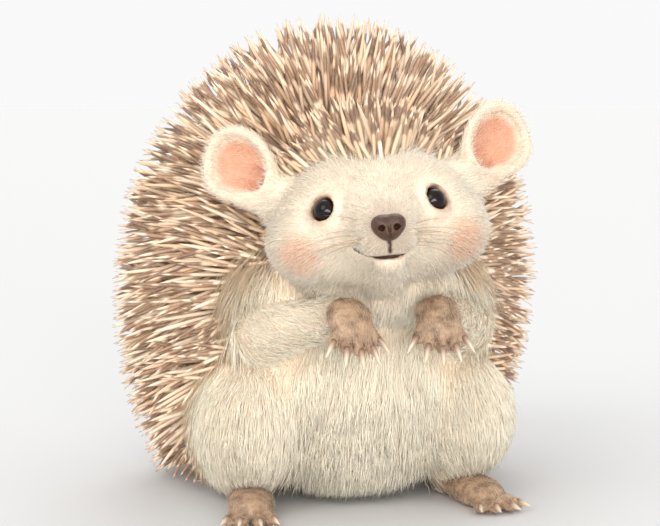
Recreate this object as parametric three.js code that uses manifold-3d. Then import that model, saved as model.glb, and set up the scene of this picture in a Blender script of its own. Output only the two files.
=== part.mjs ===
// A four-toed hedgehog sitting upright on its haunches, life size, its forepaws held up before its chest.
//
// Units are millimetres, +Z is up, the animal faces -Y and its left side is at +X. The origin is on the
// floor, at the middle of the flat that it sits on. Every outline is that of the coat: out to the tips of
// the quills on the back and crown, and to the tips of the fur everywhere else.
//
// Each flesh piece is a sphere whose vertices are pulled out to a field, which is a smooth union of a few
// ellipsoids and tapered capsules. Neighbours are then cut back from each other, so that they meet across
// a thin gap.

import * as THREE from "three";
import { mergeVertices } from "three/addons/utils/BufferGeometryUtils.js";
import Module from "manifold-3d";

const wasm = await Module();
wasm.setup();

// ---------------------------------------------------------------------------------------------------
// Driving dimensions
// ---------------------------------------------------------------------------------------------------

const GAP = 0.3; // between neighbouring pieces
const LEFT = 1;
const RIGHT = -1;
const SIDES = { left: LEFT, right: RIGHT };

// The quilled coat of the back: an egg that leans forward from its seat by `lean` for each unit of height,
// and whose lower half is a taller one cut off at the floor.
const BACK = { at: [0, 0, 50], size: [54.5, 42, 67.5], below: 78, lean: 0.13 };
const MANTLE_BLEND = 15; // how softly the quills of the crown run into those of the back

// The furred front of the trunk.
const BELLY = { at: [0, -29, 35], size: [34, 26, 37] };
const CHEST = { at: [0, -36, 54], size: [26, 21, 20] };
const SHOULDER = { out: 18, y: -34, z: 52, size: [14, 15, 16] };
const TRUNK_BLEND = 10;
const THROAT = { at: [0, -51, 58], size: [21, 18, 14] };

// The head is made level and facing -Y about the middle of the skull, and then turned.
const HEAD = { at: [-1.2, -59, 67.5], pitch: -8, yaw: -12, roll: -5.5 };
const SKULL = { at: [0, 2, 1.5], size: [24.5, 22, 19.5], below: 14.5 };
const CHEEK = { out: 12.2, y: -2, z: -2.8, size: [14, 14, 10.3] };
const SNOUT = { from: [0, -9, -0.5], to: [0, -32, -2.8], wide: 13, narrow: 4.8 };
const BRIDGE = { from: [0, -12, 6], to: [0, -31, 0.6], wide: 6, narrow: 2.8 };
const HEAD_BLEND = 7;
const JAW = { from: [0, -8, -8], to: [0, -27, -7.4], wide: 7.5, narrow: 2.8 };
const NOSE = { at: [0, -36.4, -1.6], size: [3.4, 3, 2.8] };
const EYE = { y: -17, z: 4, radius: 3.3, proud: 1.7 };
const CROWN = { at: [0, 10, 9], size: [24.5, 24.5, 22.5] };
const NAPE = { y: 17, z: -14 }; // behind and below which the crown ends and the back begins
const EAR = {
  out: 21.7, // of the ear's root from the middle of the head
  y: 1,
  z: 12,
  length: 19.5,
  width: 17.5,
  thick: 1.7,
  cup: 3.6, // how deep the front is dished
  rise: 36, // degrees of its axis above level
  turn: 22, // degrees that its mouth turns out to the side
};

// Forelimbs, from the elbow against the flank to the paw before the chest.
const ELBOW = { out: 24, y: -44, z: 43, radius: 8 };
const WRIST = { out: 11.5, y: -64.5, z: 49.4, radius: 4.6 };
const FOREPAW = {
  out: 10.2,
  y: -69,
  z: 49.1,
  pitch: 42, // degrees that the toes hang below level
  toeIn: 8,
  palm: [5.2, 5.6, 3.5],
  rootY: -2.4, // where the toes leave the palm
  toes: [
    { turn: -36, length: 4 },
    { turn: -16, length: 5.6 },
    { turn: 0, length: 6.2 },
    { turn: 16, length: 5.6 },
    { turn: 34, length: 4 },
  ],
  toeLevel: 0,
  toeDroop: 0.9,
  toeRadius: 1.7,
  spread: 4.6,
  claw: { length: 4.4, radius: 0.85, droop: 1.6 },
};

// Hind limbs: a thigh along each side of the belly, and a foot flat on the floor.
const THIGH = { out: 25, y: -29, z: 21, size: [15, 22, 20] };
const KNEE = { out: 27, y: -42, z: 22, size: [11, 11, 13] };
const HINDFOOT = {
  out: 25,
  y: -33,
  toeOut: 12,
  heel: { at: [0, 0, 3.6], size: [4.4, 6, 4.6] },
  sole: { at: [0, -12, 3.2], size: [5.4, 11, 3.9] },
  rootY: -17,
  toes: [
    { turn: -25, length: 6.2 },
    { turn: -9, length: 7.4 },
    { turn: 9, length: 7.4 },
    { turn: 25, length: 6.2 },
  ],
  toeLevel: 1.75,
  toeDroop: 0.05,
  toeRadius: 1.9,
  spread: 5.4,
  claw: { length: 3.8, radius: 0.8, droop: 0.5 },
};

const TAIL = { from: [0, 24, 5], to: [0, 42, 1.8], wide: 5.5, narrow: 2.2 };

const COLOURS = {
  quills: 0xc9a883,
  fur: 0xf6ead3,
  pad: 0x9d8470,
  ear: 0xf0c4a4,
  nose: 0x5d463b,
  eye: 0x1b120e,
  claw: 0xcdb8a2,
};
const ROUGHNESS = { quills: 0.5, fur: 0.9, pad: 0.7, ear: 0.75, nose: 0.35, eye: 0.08, claw: 0.4 };

// ---------------------------------------------------------------------------------------------------
// Fields: functions from a point to its distance outside a shape
// ---------------------------------------------------------------------------------------------------

const radians = THREE.MathUtils.degToRad;

/** An ellipsoid. below is the height of its lower half, and lean how far each unit of height moves it to -Y. */
function ellipsoid({ at, size, below = size[2], lean = 0 }) {
  return ([x, y, z]) => {
    const high = z < at[2] ? below : size[2];
    const q = [(x - at[0]) / size[0], (y - at[1] + lean * z) / size[1], (z - at[2]) / high];
    const reach = Math.hypot(...q);
    const slope = Math.hypot(q[0] / size[0], q[1] / size[1], q[2] / high);
    return slope > 0 ? (reach * (reach - 1)) / slope : -Math.min(...size);
  };
}

/** The same ellipsoid on both sides, its middle out from the plane of symmetry. */
function pairOfEllipsoids({ out, y, z, size }) {
  const half = ellipsoid({ at: [out, y, z], size });
  return (p) => half([Math.abs(p[0]), p[1], p[2]]);
}

/** A capsule that tapers from one end to the other. */
function taper({ from, to, wide, narrow }) {
  const a = new THREE.Vector3(...from);
  const axis = new THREE.Vector3(...to).sub(a);
  const length2 = axis.lengthSq();
  const drop = wide - narrow;
  const slant2 = length2 - drop * drop;
  const p = new THREE.Vector3();
  const off = new THREE.Vector3();
  return (point) => {
    p.fromArray(point).sub(a);
    const along = p.dot(axis);
    const past = along - length2;
    const off2 = off.copy(p).multiplyScalar(length2).addScaledVector(axis, -along).lengthSq();
    const along2 = along * along * length2;
    const past2 = past * past * length2;
    const k = Math.sign(drop) * drop * drop * off2;
    if (Math.sign(past) * slant2 * past2 > k) return Math.sqrt(off2 + past2) / length2 - narrow;
    if (Math.sign(along) * slant2 * along2 < k) return Math.sqrt(off2 + along2) / length2 - wide;
    return (Math.sqrt((off2 * slant2) / length2) + along * drop) / length2 - wide;
  };
}

/** The union of fields, rounded where they meet within a distance of each other. */
function blend(distance, ...fields) {
  const join = (a, b) => {
    const near = Math.max(distance - Math.abs(a - b), 0) / distance;
    return Math.min(a, b) - (near * near * distance) / 4;
  };
  return (p) => fields.map((field) => field(p)).reduce(join);
}

/** A field made in a group's own frame, as it lies in the frame that the group stands in. */
function moved(field, group) {
  group.updateMatrix();
  const inverse = group.matrix.clone().invert();
  const p = new THREE.Vector3();
  return (point) => field(p.fromArray(point).applyMatrix4(inverse).toArray());
}

const head = new THREE.Group();
head.position.set(...HEAD.at);
head.rotation.set(radians(HEAD.pitch), radians(HEAD.roll), radians(HEAD.yaw), "ZXY");

const fields = {
  head: blend(HEAD_BLEND, ellipsoid(SKULL), pairOfEllipsoids(CHEEK), taper(SNOUT), taper(BRIDGE)),
  jaw: taper(JAW),
  nose: ellipsoid(NOSE),
  mantle: blend(MANTLE_BLEND, ellipsoid(BACK), moved(ellipsoid(CROWN), head)),
  belly: blend(TRUNK_BLEND, ellipsoid(BELLY), ellipsoid(CHEST), pairOfEllipsoids(SHOULDER)),
  throat: ellipsoid(THROAT),
  tail: taper(TAIL),
};

// ---------------------------------------------------------------------------------------------------
// Solids
// ---------------------------------------------------------------------------------------------------

/** A closed geometry as a solid. */
function solidOf(geometry) {
  const bare = geometry.clone();
  bare.deleteAttribute("normal");
  bare.deleteAttribute("uv");
  const merged = mergeVertices(bare, 1e-4);
  return new wasm.Manifold(
    new wasm.Mesh({
      numProp: 3,
      vertProperties: merged.attributes.position.array,
      triVerts: new Uint32Array(merged.index.array),
    }),
  );
}

/** The largest piece of a solid, which drops the slivers that a cut leaves. */
function largest(solid) {
  return solid.decompose().reduce((a, b) => (b.volume() > a.volume() ? b : a));
}

const cut = (solid, ...tools) => tools.reduce((left, tool) => left.subtract(tool), solid);
const join = (...solids) => solids.reduce((all, solid) => all.add(solid));

/** The solid of a group's own frame, in the frame that the group stands in. */
function placed(solid, group) {
  group.updateMatrix();
  return solid.transform(group.matrix.elements);
}

/** The solid of the frame that a group stands in, in the group's own frame. */
function seenFrom(group, solid) {
  group.updateMatrix();
  return solid.transform(group.matrix.clone().invert().elements);
}

/** The point where a ray from a centre first comes as far outside a field's shape as `grow`. */
function reached(field, centre, ray, grow) {
  const MOST = 130;
  const STEP = 1.5;
  const at = (t) => [centre[0] + ray.x * t, centre[1] + ray.y * t, centre[2] + ray.z * t];
  let outside = STEP;
  while (outside < MOST && field(at(outside)) < grow) outside += STEP;
  let inside = outside - STEP;
  for (let k = 0; k < 24; k++) {
    const middle = (inside + outside) / 2;
    if (field(at(middle)) < grow) inside = middle;
    else outside = middle;
  }
  return at(outside);
}

/** A sphere whose vertices are pulled along rays from a centre to a field's surface, or to `grow` beyond it. */
function wrapped(field, centre, { around, along, pole = [0, 0, 1], grow = 0 }) {
  const geometry = new THREE.SphereGeometry(1, around, along);
  const turn = new THREE.Quaternion().setFromUnitVectors(new THREE.Vector3(0, 1, 0), new THREE.Vector3(...pole));
  const ray = new THREE.Vector3();
  const position = geometry.attributes.position;
  for (let i = 0; i < position.count; i++) {
    ray.fromBufferAttribute(position, i).applyQuaternion(turn).normalize();
    position.setXYZ(i, ...reached(field, centre, ray, grow));
  }
  return solidOf(geometry);
}

/** A block of space under the floor, to cut flats with. */
const UNDER_FLOOR = solidOf(new THREE.BoxGeometry(400, 400, 100).translate(0, 0, -50));

const materials = Object.fromEntries(
  Object.entries(COLOURS).map(([name, color]) => [
    name,
    new THREE.MeshStandardMaterial({ name, color, roughness: ROUGHNESS[name], metalness: 0, flatShading: true }),
  ]),
);

/** A named mesh of the largest piece of a solid. */
function mesh(name, solid, material) {
  const { vertProperties, triVerts } = largest(solid).getMesh();
  const geometry = new THREE.BufferGeometry();
  geometry.setAttribute("position", new THREE.BufferAttribute(vertProperties, 3));
  geometry.setIndex(new THREE.BufferAttribute(triVerts, 1));
  geometry.computeVertexNormals();
  const made = new THREE.Mesh(geometry, materials[material]);
  made.name = name;
  return made;
}

// ---------------------------------------------------------------------------------------------------
// Paws: a palm or sole with its toes, and a claw on each toe
// ---------------------------------------------------------------------------------------------------

/** The ends of a toe: where it leaves the paw, and its tip, which the claw leaves. */
function toeEnds(toe, paw) {
  const heading = new THREE.Vector3(0, -1, 0).applyAxisAngle(new THREE.Vector3(0, 0, 1), radians(toe.turn));
  const from = new THREE.Vector3(heading.x * paw.spread, paw.rootY, paw.toeLevel);
  const to = from.clone().addScaledVector(heading, toe.length);
  to.z -= paw.toeDroop;
  return { from, to, heading };
}

function toeSolid(toe, paw, grow) {
  const { from, to } = toeEnds(toe, paw);
  const shaft = taper({ from: from.toArray(), to: to.toArray(), wide: paw.toeRadius, narrow: paw.toeRadius * 0.8 });
  const middle = from.clone().lerp(to, 0.5);
  const pole = to.clone().sub(from).normalize();
  return wrapped(shaft, middle.toArray(), { around: 6, along: 4, pole: pole.toArray(), grow });
}

/** A curved claw that leaves the tip of a toe, its point drooping. */
function clawSolid(toe, paw) {
  const { length, radius, droop } = paw.claw;
  const { to, heading } = toeEnds(toe, paw);
  const side = new THREE.Vector3().crossVectors(heading, new THREE.Vector3(0, 0, 1));
  const cone = new THREE.ConeGeometry(radius, 1, 5, 2).translate(0, 0.5, 0);
  const position = cone.attributes.position;
  const place = new THREE.Vector3();
  for (let i = 0; i < position.count; i++) {
    const along = position.getY(i);
    place.copy(to).addScaledVector(heading, paw.toeRadius * 0.3 + along * length);
    place.addScaledVector(side, position.getX(i));
    place.z += 1.25 * position.getZ(i) + 0.35 - droop * along * along;
    position.setXYZ(i, place.x, place.y, place.z);
  }
  return solidOf(cone);
}

/** A whole paw and its claws, in the paw's own frame with its toes towards -Y. */
function pawSolids(base, paw) {
  const whole = (grow) => join(base(grow), ...paw.toes.map((toe) => toeSolid(toe, paw, grow)));
  const cutter = whole(GAP);
  return { flesh: whole(0), cutter, claws: paw.toes.map((toe) => cut(clawSolid(toe, paw), cutter)) };
}

/** Fills a group with a paw and its claws. */
function fillPaw(group, name, flesh, claws) {
  group.add(mesh(name, flesh, "pad"));
  claws.forEach((claw, i) => group.add(mesh(`${name}_claw_${i + 1}`, claw, "claw")));
}

// ---------------------------------------------------------------------------------------------------
// Head
// ---------------------------------------------------------------------------------------------------

const FORWARD = [0, -1, 0];

/** An ear: a round leaf, dished in front, that stands out from its root. */
function earSolid(side, grow) {
  const leaf = new THREE.SphereGeometry(1, 14, 7);
  const position = leaf.attributes.position;
  for (let i = 0; i < position.count; i++) {
    const across = position.getX(i) * (1 + (2 * grow) / EAR.length);
    const up = position.getZ(i) * (1 + (2 * grow) / EAR.width);
    const through = position.getY(i) * (EAR.thick / 2 + grow);
    position.setXYZ(
      i,
      (side * EAR.length * (1 + across)) / 2,
      through + EAR.cup * (0.55 - across * across - up * up) * (1 - 0.25 * across),
      (up * EAR.width * (1 + 0.12 * across)) / 2,
    );
  }
  if (side === RIGHT) {
    const order = leaf.index.array;
    for (let i = 0; i < order.length; i += 3) [order[i + 1], order[i + 2]] = [order[i + 2], order[i + 1]];
  }
  leaf.rotateY(-side * radians(EAR.rise));
  leaf.rotateZ(side * radians(EAR.turn));
  leaf.translate(side * EAR.out, EAR.y, EAR.z);
  return solidOf(leaf);
}

/** An eyeball that stands a little proud of the face. */
function eyeSolid(side, grow) {
  const outward = new THREE.Vector3(side, 0, 0);
  const at = reached(fields.head, [0, EYE.y, EYE.z], outward, EYE.proud - EYE.radius);
  return wrapped(ellipsoid({ at, size: Array(3).fill(EYE.radius) }), at, { around: 10, along: 7, grow });
}

const headWrap = (grow) => wrapped(fields.head, [0, -4, 0], { around: 24, along: 16, pole: FORWARD, grow });
const jawWrap = (grow) => wrapped(fields.jaw, [0, -18, -9], { around: 12, along: 9, pole: FORWARD, grow });
const noseWrap = (grow) => wrapped(fields.nose, NOSE.at, { around: 10, along: 7, pole: FORWARD, grow });

/** The block of space before and above the nape, or a little less of it. */
function beforeNape(less) {
  const size = 200;
  const block = new THREE.BoxGeometry(size, size, size);
  block.translate(0, NAPE.y - less - size / 2, NAPE.z + less + size / 2);
  return placed(solidOf(block), head);
}

const skullInPlace = placed(join(headWrap(GAP), jawWrap(GAP), noseWrap(GAP)), head);
const earsInPlace = placed(join(earSolid(LEFT, GAP), earSolid(RIGHT, GAP)), head);

/** Everything that turns with the head, in its frame. */
function fillHead() {
  const eyes = join(eyeSolid(LEFT, GAP), eyeSolid(RIGHT, GAP));
  head.add(mesh("head", cut(headWrap(0), eyes, noseWrap(GAP)), "fur"));
  head.add(mesh("jaw", cut(jawWrap(0), headWrap(GAP)), "fur"));
  head.add(mesh("nose", cut(noseWrap(0), jawWrap(GAP)), "nose"));
  for (const [name, side] of Object.entries(SIDES)) {
    head.add(mesh(`eye_${name}`, eyeSolid(side, 0), "eye"));
    head.add(mesh(`ear_${name}`, cut(earSolid(side, 0), headWrap(GAP)), "ear"));
  }
}

// ---------------------------------------------------------------------------------------------------
// The quilled mantle, in two pieces that part at the nape
// ---------------------------------------------------------------------------------------------------

const crownMiddle = new THREE.Vector3(...CROWN.at).applyMatrix4(head.matrix).toArray();
const crownWrap = (grow) => wrapped(fields.mantle, crownMiddle, { around: 22, along: 13, grow });
const backWrap = (grow) => wrapped(fields.mantle, BACK.at, { around: 34, along: 17, grow });
const mantleInPlace = join(backWrap(GAP), crownWrap(GAP).intersect(beforeNape(0)));

function addMantle(animal) {
  const crown = cut(crownWrap(0).intersect(beforeNape(GAP)), skullInPlace, earsInPlace);
  const back = cut(backWrap(0), beforeNape(0), skullInPlace, earsInPlace, UNDER_FLOOR);
  animal.add(mesh("crown", crown, "quills"), mesh("back", back, "quills"));
}

// ---------------------------------------------------------------------------------------------------
// Limbs, each of which returns the space that it takes from the trunk
// ---------------------------------------------------------------------------------------------------

/** Adds a forearm and its paw. */
function addForeleg(animal, name, side) {
  const elbow = [side * ELBOW.out, ELBOW.y, ELBOW.z];
  const wrist = [side * WRIST.out, WRIST.y, WRIST.z];
  const shaft = taper({ from: elbow, to: wrist, wide: ELBOW.radius, narrow: WRIST.radius });
  const middle = elbow.map((value, i) => (value + wrist[i]) / 2);
  const pole = new THREE.Vector3(...wrist).sub(new THREE.Vector3(...elbow)).normalize().toArray();
  const arm = (grow) => wrapped(shaft, middle, { around: 10, along: 7, pole, grow });

  const palm = ellipsoid({ at: [0, 0, 0], size: FOREPAW.palm });
  const paw = new THREE.Group();
  paw.position.set(side * FOREPAW.out, FOREPAW.y, FOREPAW.z);
  paw.rotation.set(radians(FOREPAW.pitch), 0, -side * radians(FOREPAW.toeIn), "ZXY");
  const base = (grow) => wrapped(palm, [0, 0, 0], { around: 10, along: 6, pole: FORWARD, grow });
  const { flesh, cutter, claws } = pawSolids(base, FOREPAW);
  fillPaw(paw, `forepaw_${name}`, flesh, claws);
  animal.add(paw);

  const pawInPlace = placed(cutter, paw);
  animal.add(mesh(`foreleg_${name}`, cut(arm(0), pawInPlace, skullInPlace, mantleInPlace), "fur"));
  return join(arm(GAP), pawInPlace);
}

/** Adds a thigh and its foot, with the elbows above already in place. */
function addHindleg(animal, name, side, elbows) {
  const mirrored = ({ out, y, z, size }) => ellipsoid({ at: [side * out, y, z], size });
  const ham = blend(6, mirrored(THIGH), mirrored(KNEE));
  const middle = [side * THIGH.out, THIGH.y, THIGH.z];
  const thigh = (grow) => wrapped(ham, middle, { around: 14, along: 9, grow });

  const sole = blend(4, ellipsoid(HINDFOOT.heel), ellipsoid(HINDFOOT.sole));
  const foot = new THREE.Group();
  foot.position.set(side * HINDFOOT.out, HINDFOOT.y, 0);
  foot.rotation.z = side * radians(HINDFOOT.toeOut);
  const base = (grow) => wrapped(sole, [0, -9, 3.4], { around: 12, along: 7, pole: FORWARD, grow });
  const { flesh, cutter, claws } = pawSolids(base, HINDFOOT);
  fillPaw(foot, `hindfoot_${name}`, cut(flesh, seenFrom(foot, mantleInPlace), UNDER_FLOOR), claws);
  animal.add(foot);

  const footInPlace = placed(cutter, foot);
  animal.add(mesh(`thigh_${name}`, cut(thigh(0), footInPlace, elbows, mantleInPlace, UNDER_FLOOR), "fur"));
  return join(thigh(GAP), footInPlace);
}

// ---------------------------------------------------------------------------------------------------
// Trunk
// ---------------------------------------------------------------------------------------------------

const throatWrap = (grow) => wrapped(fields.throat, THROAT.at, { around: 14, along: 8, grow });
const bellyWrap = (grow) => wrapped(fields.belly, [0, -34, 40], { around: 20, along: 13, grow });
const tailWrap = (grow) => wrapped(fields.tail, [0, 32, 3.6], { around: 8, along: 7, pole: [0, 1, 0], grow });

/** Adds the furred pieces of the trunk, with the limbs already in place. */
function addTrunk(animal, limbs) {
  const throat = cut(throatWrap(0), skullInPlace, mantleInPlace, limbs);
  const belly = cut(bellyWrap(0), skullInPlace, mantleInPlace, throatWrap(GAP), limbs, UNDER_FLOOR);
  const tail = cut(tailWrap(0), mantleInPlace, UNDER_FLOOR);
  animal.add(mesh("throat", throat, "fur"), mesh("belly", belly, "fur"), mesh("tail", tail, "fur"));
}

const hedgehog = new THREE.Group();
fillHead();
hedgehog.add(head);
addMantle(hedgehog);
const forelegs = join(...Object.entries(SIDES).map(([name, side]) => addForeleg(hedgehog, name, side)));
const hindlegs = join(...Object.entries(SIDES).map(([name, side]) => addHindleg(hedgehog, name, side, forelegs)));
addTrunk(hedgehog, join(forelegs, hindlegs));

export default hedgehog;
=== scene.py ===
"""A life-size four-toed hedgehog that sits upright: its skin, quills, fur, whiskers, eyes, nose and claws.

Shapes are worked out in millimetres, and meshes are in metres. The animal faces -Y, its left side is at +X,
and it sits on the floor at the origin. The skin is the surface of a field of ellipsoids and tapered capsules,
inside the frame's outline by the depth of the coat. Quills and hairs are rooted on that skin.
"""

from __future__ import annotations

import sys

import logging
import math
from collections.abc import Callable, Mapping, Sequence
from dataclasses import dataclass, field
from enum import Enum
from functools import cached_property
from typing import Any, ClassVar

import bpy
import numpy as np
from mathutils import Matrix, Vector
from mathutils.kdtree import KDTree

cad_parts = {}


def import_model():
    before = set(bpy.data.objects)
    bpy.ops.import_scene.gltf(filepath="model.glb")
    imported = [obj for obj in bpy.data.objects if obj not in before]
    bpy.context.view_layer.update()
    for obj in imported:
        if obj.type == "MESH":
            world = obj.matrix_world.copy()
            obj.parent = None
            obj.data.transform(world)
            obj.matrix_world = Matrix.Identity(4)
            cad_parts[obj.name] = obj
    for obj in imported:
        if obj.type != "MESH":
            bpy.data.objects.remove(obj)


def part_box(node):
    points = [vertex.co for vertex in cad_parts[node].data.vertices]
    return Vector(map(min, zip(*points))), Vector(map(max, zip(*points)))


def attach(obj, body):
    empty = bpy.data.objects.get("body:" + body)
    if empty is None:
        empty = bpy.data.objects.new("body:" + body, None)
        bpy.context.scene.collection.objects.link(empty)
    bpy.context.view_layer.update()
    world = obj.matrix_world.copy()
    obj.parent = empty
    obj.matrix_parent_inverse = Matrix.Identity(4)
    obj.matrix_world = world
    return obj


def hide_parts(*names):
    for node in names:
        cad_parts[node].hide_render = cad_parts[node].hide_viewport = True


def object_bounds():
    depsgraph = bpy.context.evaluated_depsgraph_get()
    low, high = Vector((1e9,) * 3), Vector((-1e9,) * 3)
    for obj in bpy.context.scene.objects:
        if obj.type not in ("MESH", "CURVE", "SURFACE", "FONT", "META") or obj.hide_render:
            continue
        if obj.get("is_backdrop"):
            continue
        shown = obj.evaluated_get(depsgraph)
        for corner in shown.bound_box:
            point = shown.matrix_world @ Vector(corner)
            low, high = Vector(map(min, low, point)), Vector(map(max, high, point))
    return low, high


Array = np.ndarray
Pair = tuple[float, float]
Triple = tuple[float, float, float]
Field = Callable[[Array], Array]
Arrays = tuple[Array, Array, Array]
Chance = np.random.Generator
Finish = bpy.types.Material
Socket = bpy.types.NodeSocket
Piece = bpy.types.Object

MM = 0.001
LEFT, RIGHT = 1, -1
SIDES = ("left", "right")
UP = (0.0, 0.0, 1.0)
WHITE = (1.0, 1.0, 1.0, 1.0)
BODY = "root"
COAT_MAP = "OFBake"
BLOCK = 4  # cells of a grid along each side of a block
BATCH = 4000  # blocks worked out at once
SAFETY = 1.15  # how far from a block's corner, in its diagonals, a surface may still cross it
PACKING = 0.7  # roots to a square of their spacing, when they stand as close as they may

log = logging.getLogger("hedgehog")


# Small maths


def norm(v: Array) -> Array:
    """The length of each vector."""
    return np.linalg.norm(v, axis=-1)


def unit(v: Array) -> Array:
    """Vectors brought to a length of one."""
    return v / np.maximum(np.linalg.norm(v, axis=-1, keepdims=True), 1e-9)


def across(a: Array, b: Array) -> Array:
    """The dot product of each pair of vectors."""
    return np.einsum("ij,ij->i", a, b)


def ease(low: float, high: float, value: Array) -> Array:
    """A smooth rise from 0 at low to 1 at high."""
    t = np.clip((value - low) / (high - low), 0.0, 1.0)
    return t * t * (3.0 - 2.0 * t)


def hump(offset: Array, width: float) -> Array:
    """A bell curve: 1 where the offset is 0, and little left at twice the width."""
    return np.exp(-((offset / width) ** 2))


def rows(count: int, *columns: Array | float) -> Array:
    """Vectors, one to a row, from a number or an array for each of their columns."""
    return np.stack([np.broadcast_to(column, count) for column in columns], axis=1)


def join(reach: float, *fields: Array) -> Array:
    """The union of distances, rounded where two are within reach of each other.

    Args:
        reach: How near two distances are where the rounding starts.
        fields: Each solid's distances.

    Returns:
        The union's distances.
    """
    least = fields[0]
    for other in fields[1:]:
        near = np.maximum(reach - np.abs(least - other), 0.0) / reach
        least = np.minimum(least, other) - near * near * reach / 4.0
    return least


def carve(reach: float, solid: Array, *tools: Array) -> Array:
    """A solid's distance after tools are cut from it, with the rims rounded within reach."""
    for tool in tools:
        solid = -join(reach, -solid, tool)
    return solid


def colour(code: str) -> tuple[float, float, float, float]:
    """A colour in linear light from its sRGB hex code."""
    parts = [int(code[i : i + 2], 16) / 255.0 for i in (1, 3, 5)]
    return (*[c / 12.92 if c <= 0.04045 else ((c + 0.055) / 1.055) ** 2.4 for c in parts], 1.0)


# Shapes, whose `outside` gives each point's distance outside them


@dataclass(frozen=True)
class Ellipsoid:
    """An ellipsoid, which can have a lower half of another height and lean to -Y as it rises."""

    at: Triple
    size: Triple
    below: float = 0.0
    lean: float = 0.0

    def outside(self, p: Array) -> Array:
        """Distances outside the ellipsoid.

        Args:
            p: Points, one to a row.

        Returns:
            A distance for each, negative inside.
        """
        q = p - np.asarray(self.at, dtype=p.dtype)
        if self.lean:
            q[:, 1] += self.lean * p[:, 2]
        half = np.broadcast_to(np.asarray(self.size, dtype=p.dtype), q.shape)
        if self.below:
            half = half.copy()
            half[:, 2] = np.where(q[:, 2] < 0.0, self.below, self.size[2])
        q = q / half
        reach = norm(q)
        slope = norm(q / half)
        return reach * (reach - 1.0) / np.maximum(slope, 1e-6)


@dataclass(frozen=True)
class Taper:
    """A capsule that tapers from one end to the other."""

    start: Triple
    end: Triple
    wide: float
    narrow: float

    def outside(self, p: Array) -> Array:
        """Distances outside the capsule.

        Args:
            p: Points, one to a row.

        Returns:
            A distance for each, negative inside.
        """
        start = np.asarray(self.start, dtype=p.dtype)
        axis = np.asarray(self.end, dtype=p.dtype) - start
        length2 = float(axis @ axis)
        drop = self.wide - self.narrow
        slant2 = length2 - drop * drop
        q = p - start
        along = q @ axis
        past = along - length2
        off = q * length2 - along[:, None] * axis
        off2 = across(off, off)
        along2 = along * along * length2
        past2 = past * past * length2
        k = math.copysign(drop * drop, drop) * off2
        shaft = (np.sqrt(off2 * slant2 / length2) + along * drop) / length2 - self.wide
        root = np.sqrt(off2 + along2) / length2 - self.wide
        tip = np.sqrt(off2 + past2) / length2 - self.narrow
        shaft = np.where(np.sign(along) * slant2 * along2 < k, root, shaft)
        return np.where(np.sign(past) * slant2 * past2 > k, tip, shaft)


def folded(p: Array) -> Array:
    """Points, with those at -X brought to where their mirror images are."""
    return np.column_stack([np.abs(p[:, 0]), p[:, 1:]])


def mirrored(shape: Ellipsoid | Taper, p: Array) -> Array:
    """Distances outside a shape at +X and its mirror image at -X."""
    return shape.outside(folded(p))


def near(outside: Field, p: Array, centre: Sequence[float], radius: float, margin: float = 9.0) -> Array:
    """Distances outside a shape, worked out only near it.

    Args:
        outside: The shape's field.
        p: Points, one to a row.
        centre: The middle of a ball that holds the shape.
        radius: The ball's radius.
        margin: How far outside the ball the field is still worked out.

    Returns:
        A distance for each: farther off, the distance outside the ball.
    """
    distance = norm(p - np.asarray(centre)) - radius
    close = distance < margin
    if close.any():
        distance[close] = outside(p[close])
    return distance


@dataclass(frozen=True)
class Pose:
    """Where a part's own frame lies. Its turns are in degrees: roll first, then pitch, then yaw."""

    at: Triple
    pitch: float = 0.0
    roll: float = 0.0
    yaw: float = 0.0

    @cached_property
    def turn(self) -> Array:
        """The rotation from the part's frame to the animal's."""
        matrix = (
            Matrix.Rotation(math.radians(self.yaw), 3, "Z")
            @ Matrix.Rotation(math.radians(self.pitch), 3, "X")
            @ Matrix.Rotation(math.radians(self.roll), 3, "Y")
        )
        return np.array(matrix)

    def inward(self, p: Array) -> Array:
        """Points of the animal's frame, in the part's."""
        return (p - np.asarray(self.at)) @ self.turn

    def outward(self, q: Array) -> Array:
        """Points of the part's frame, in the animal's."""
        return np.asarray(q) @ self.turn.T + np.asarray(self.at)


# Anatomy


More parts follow.
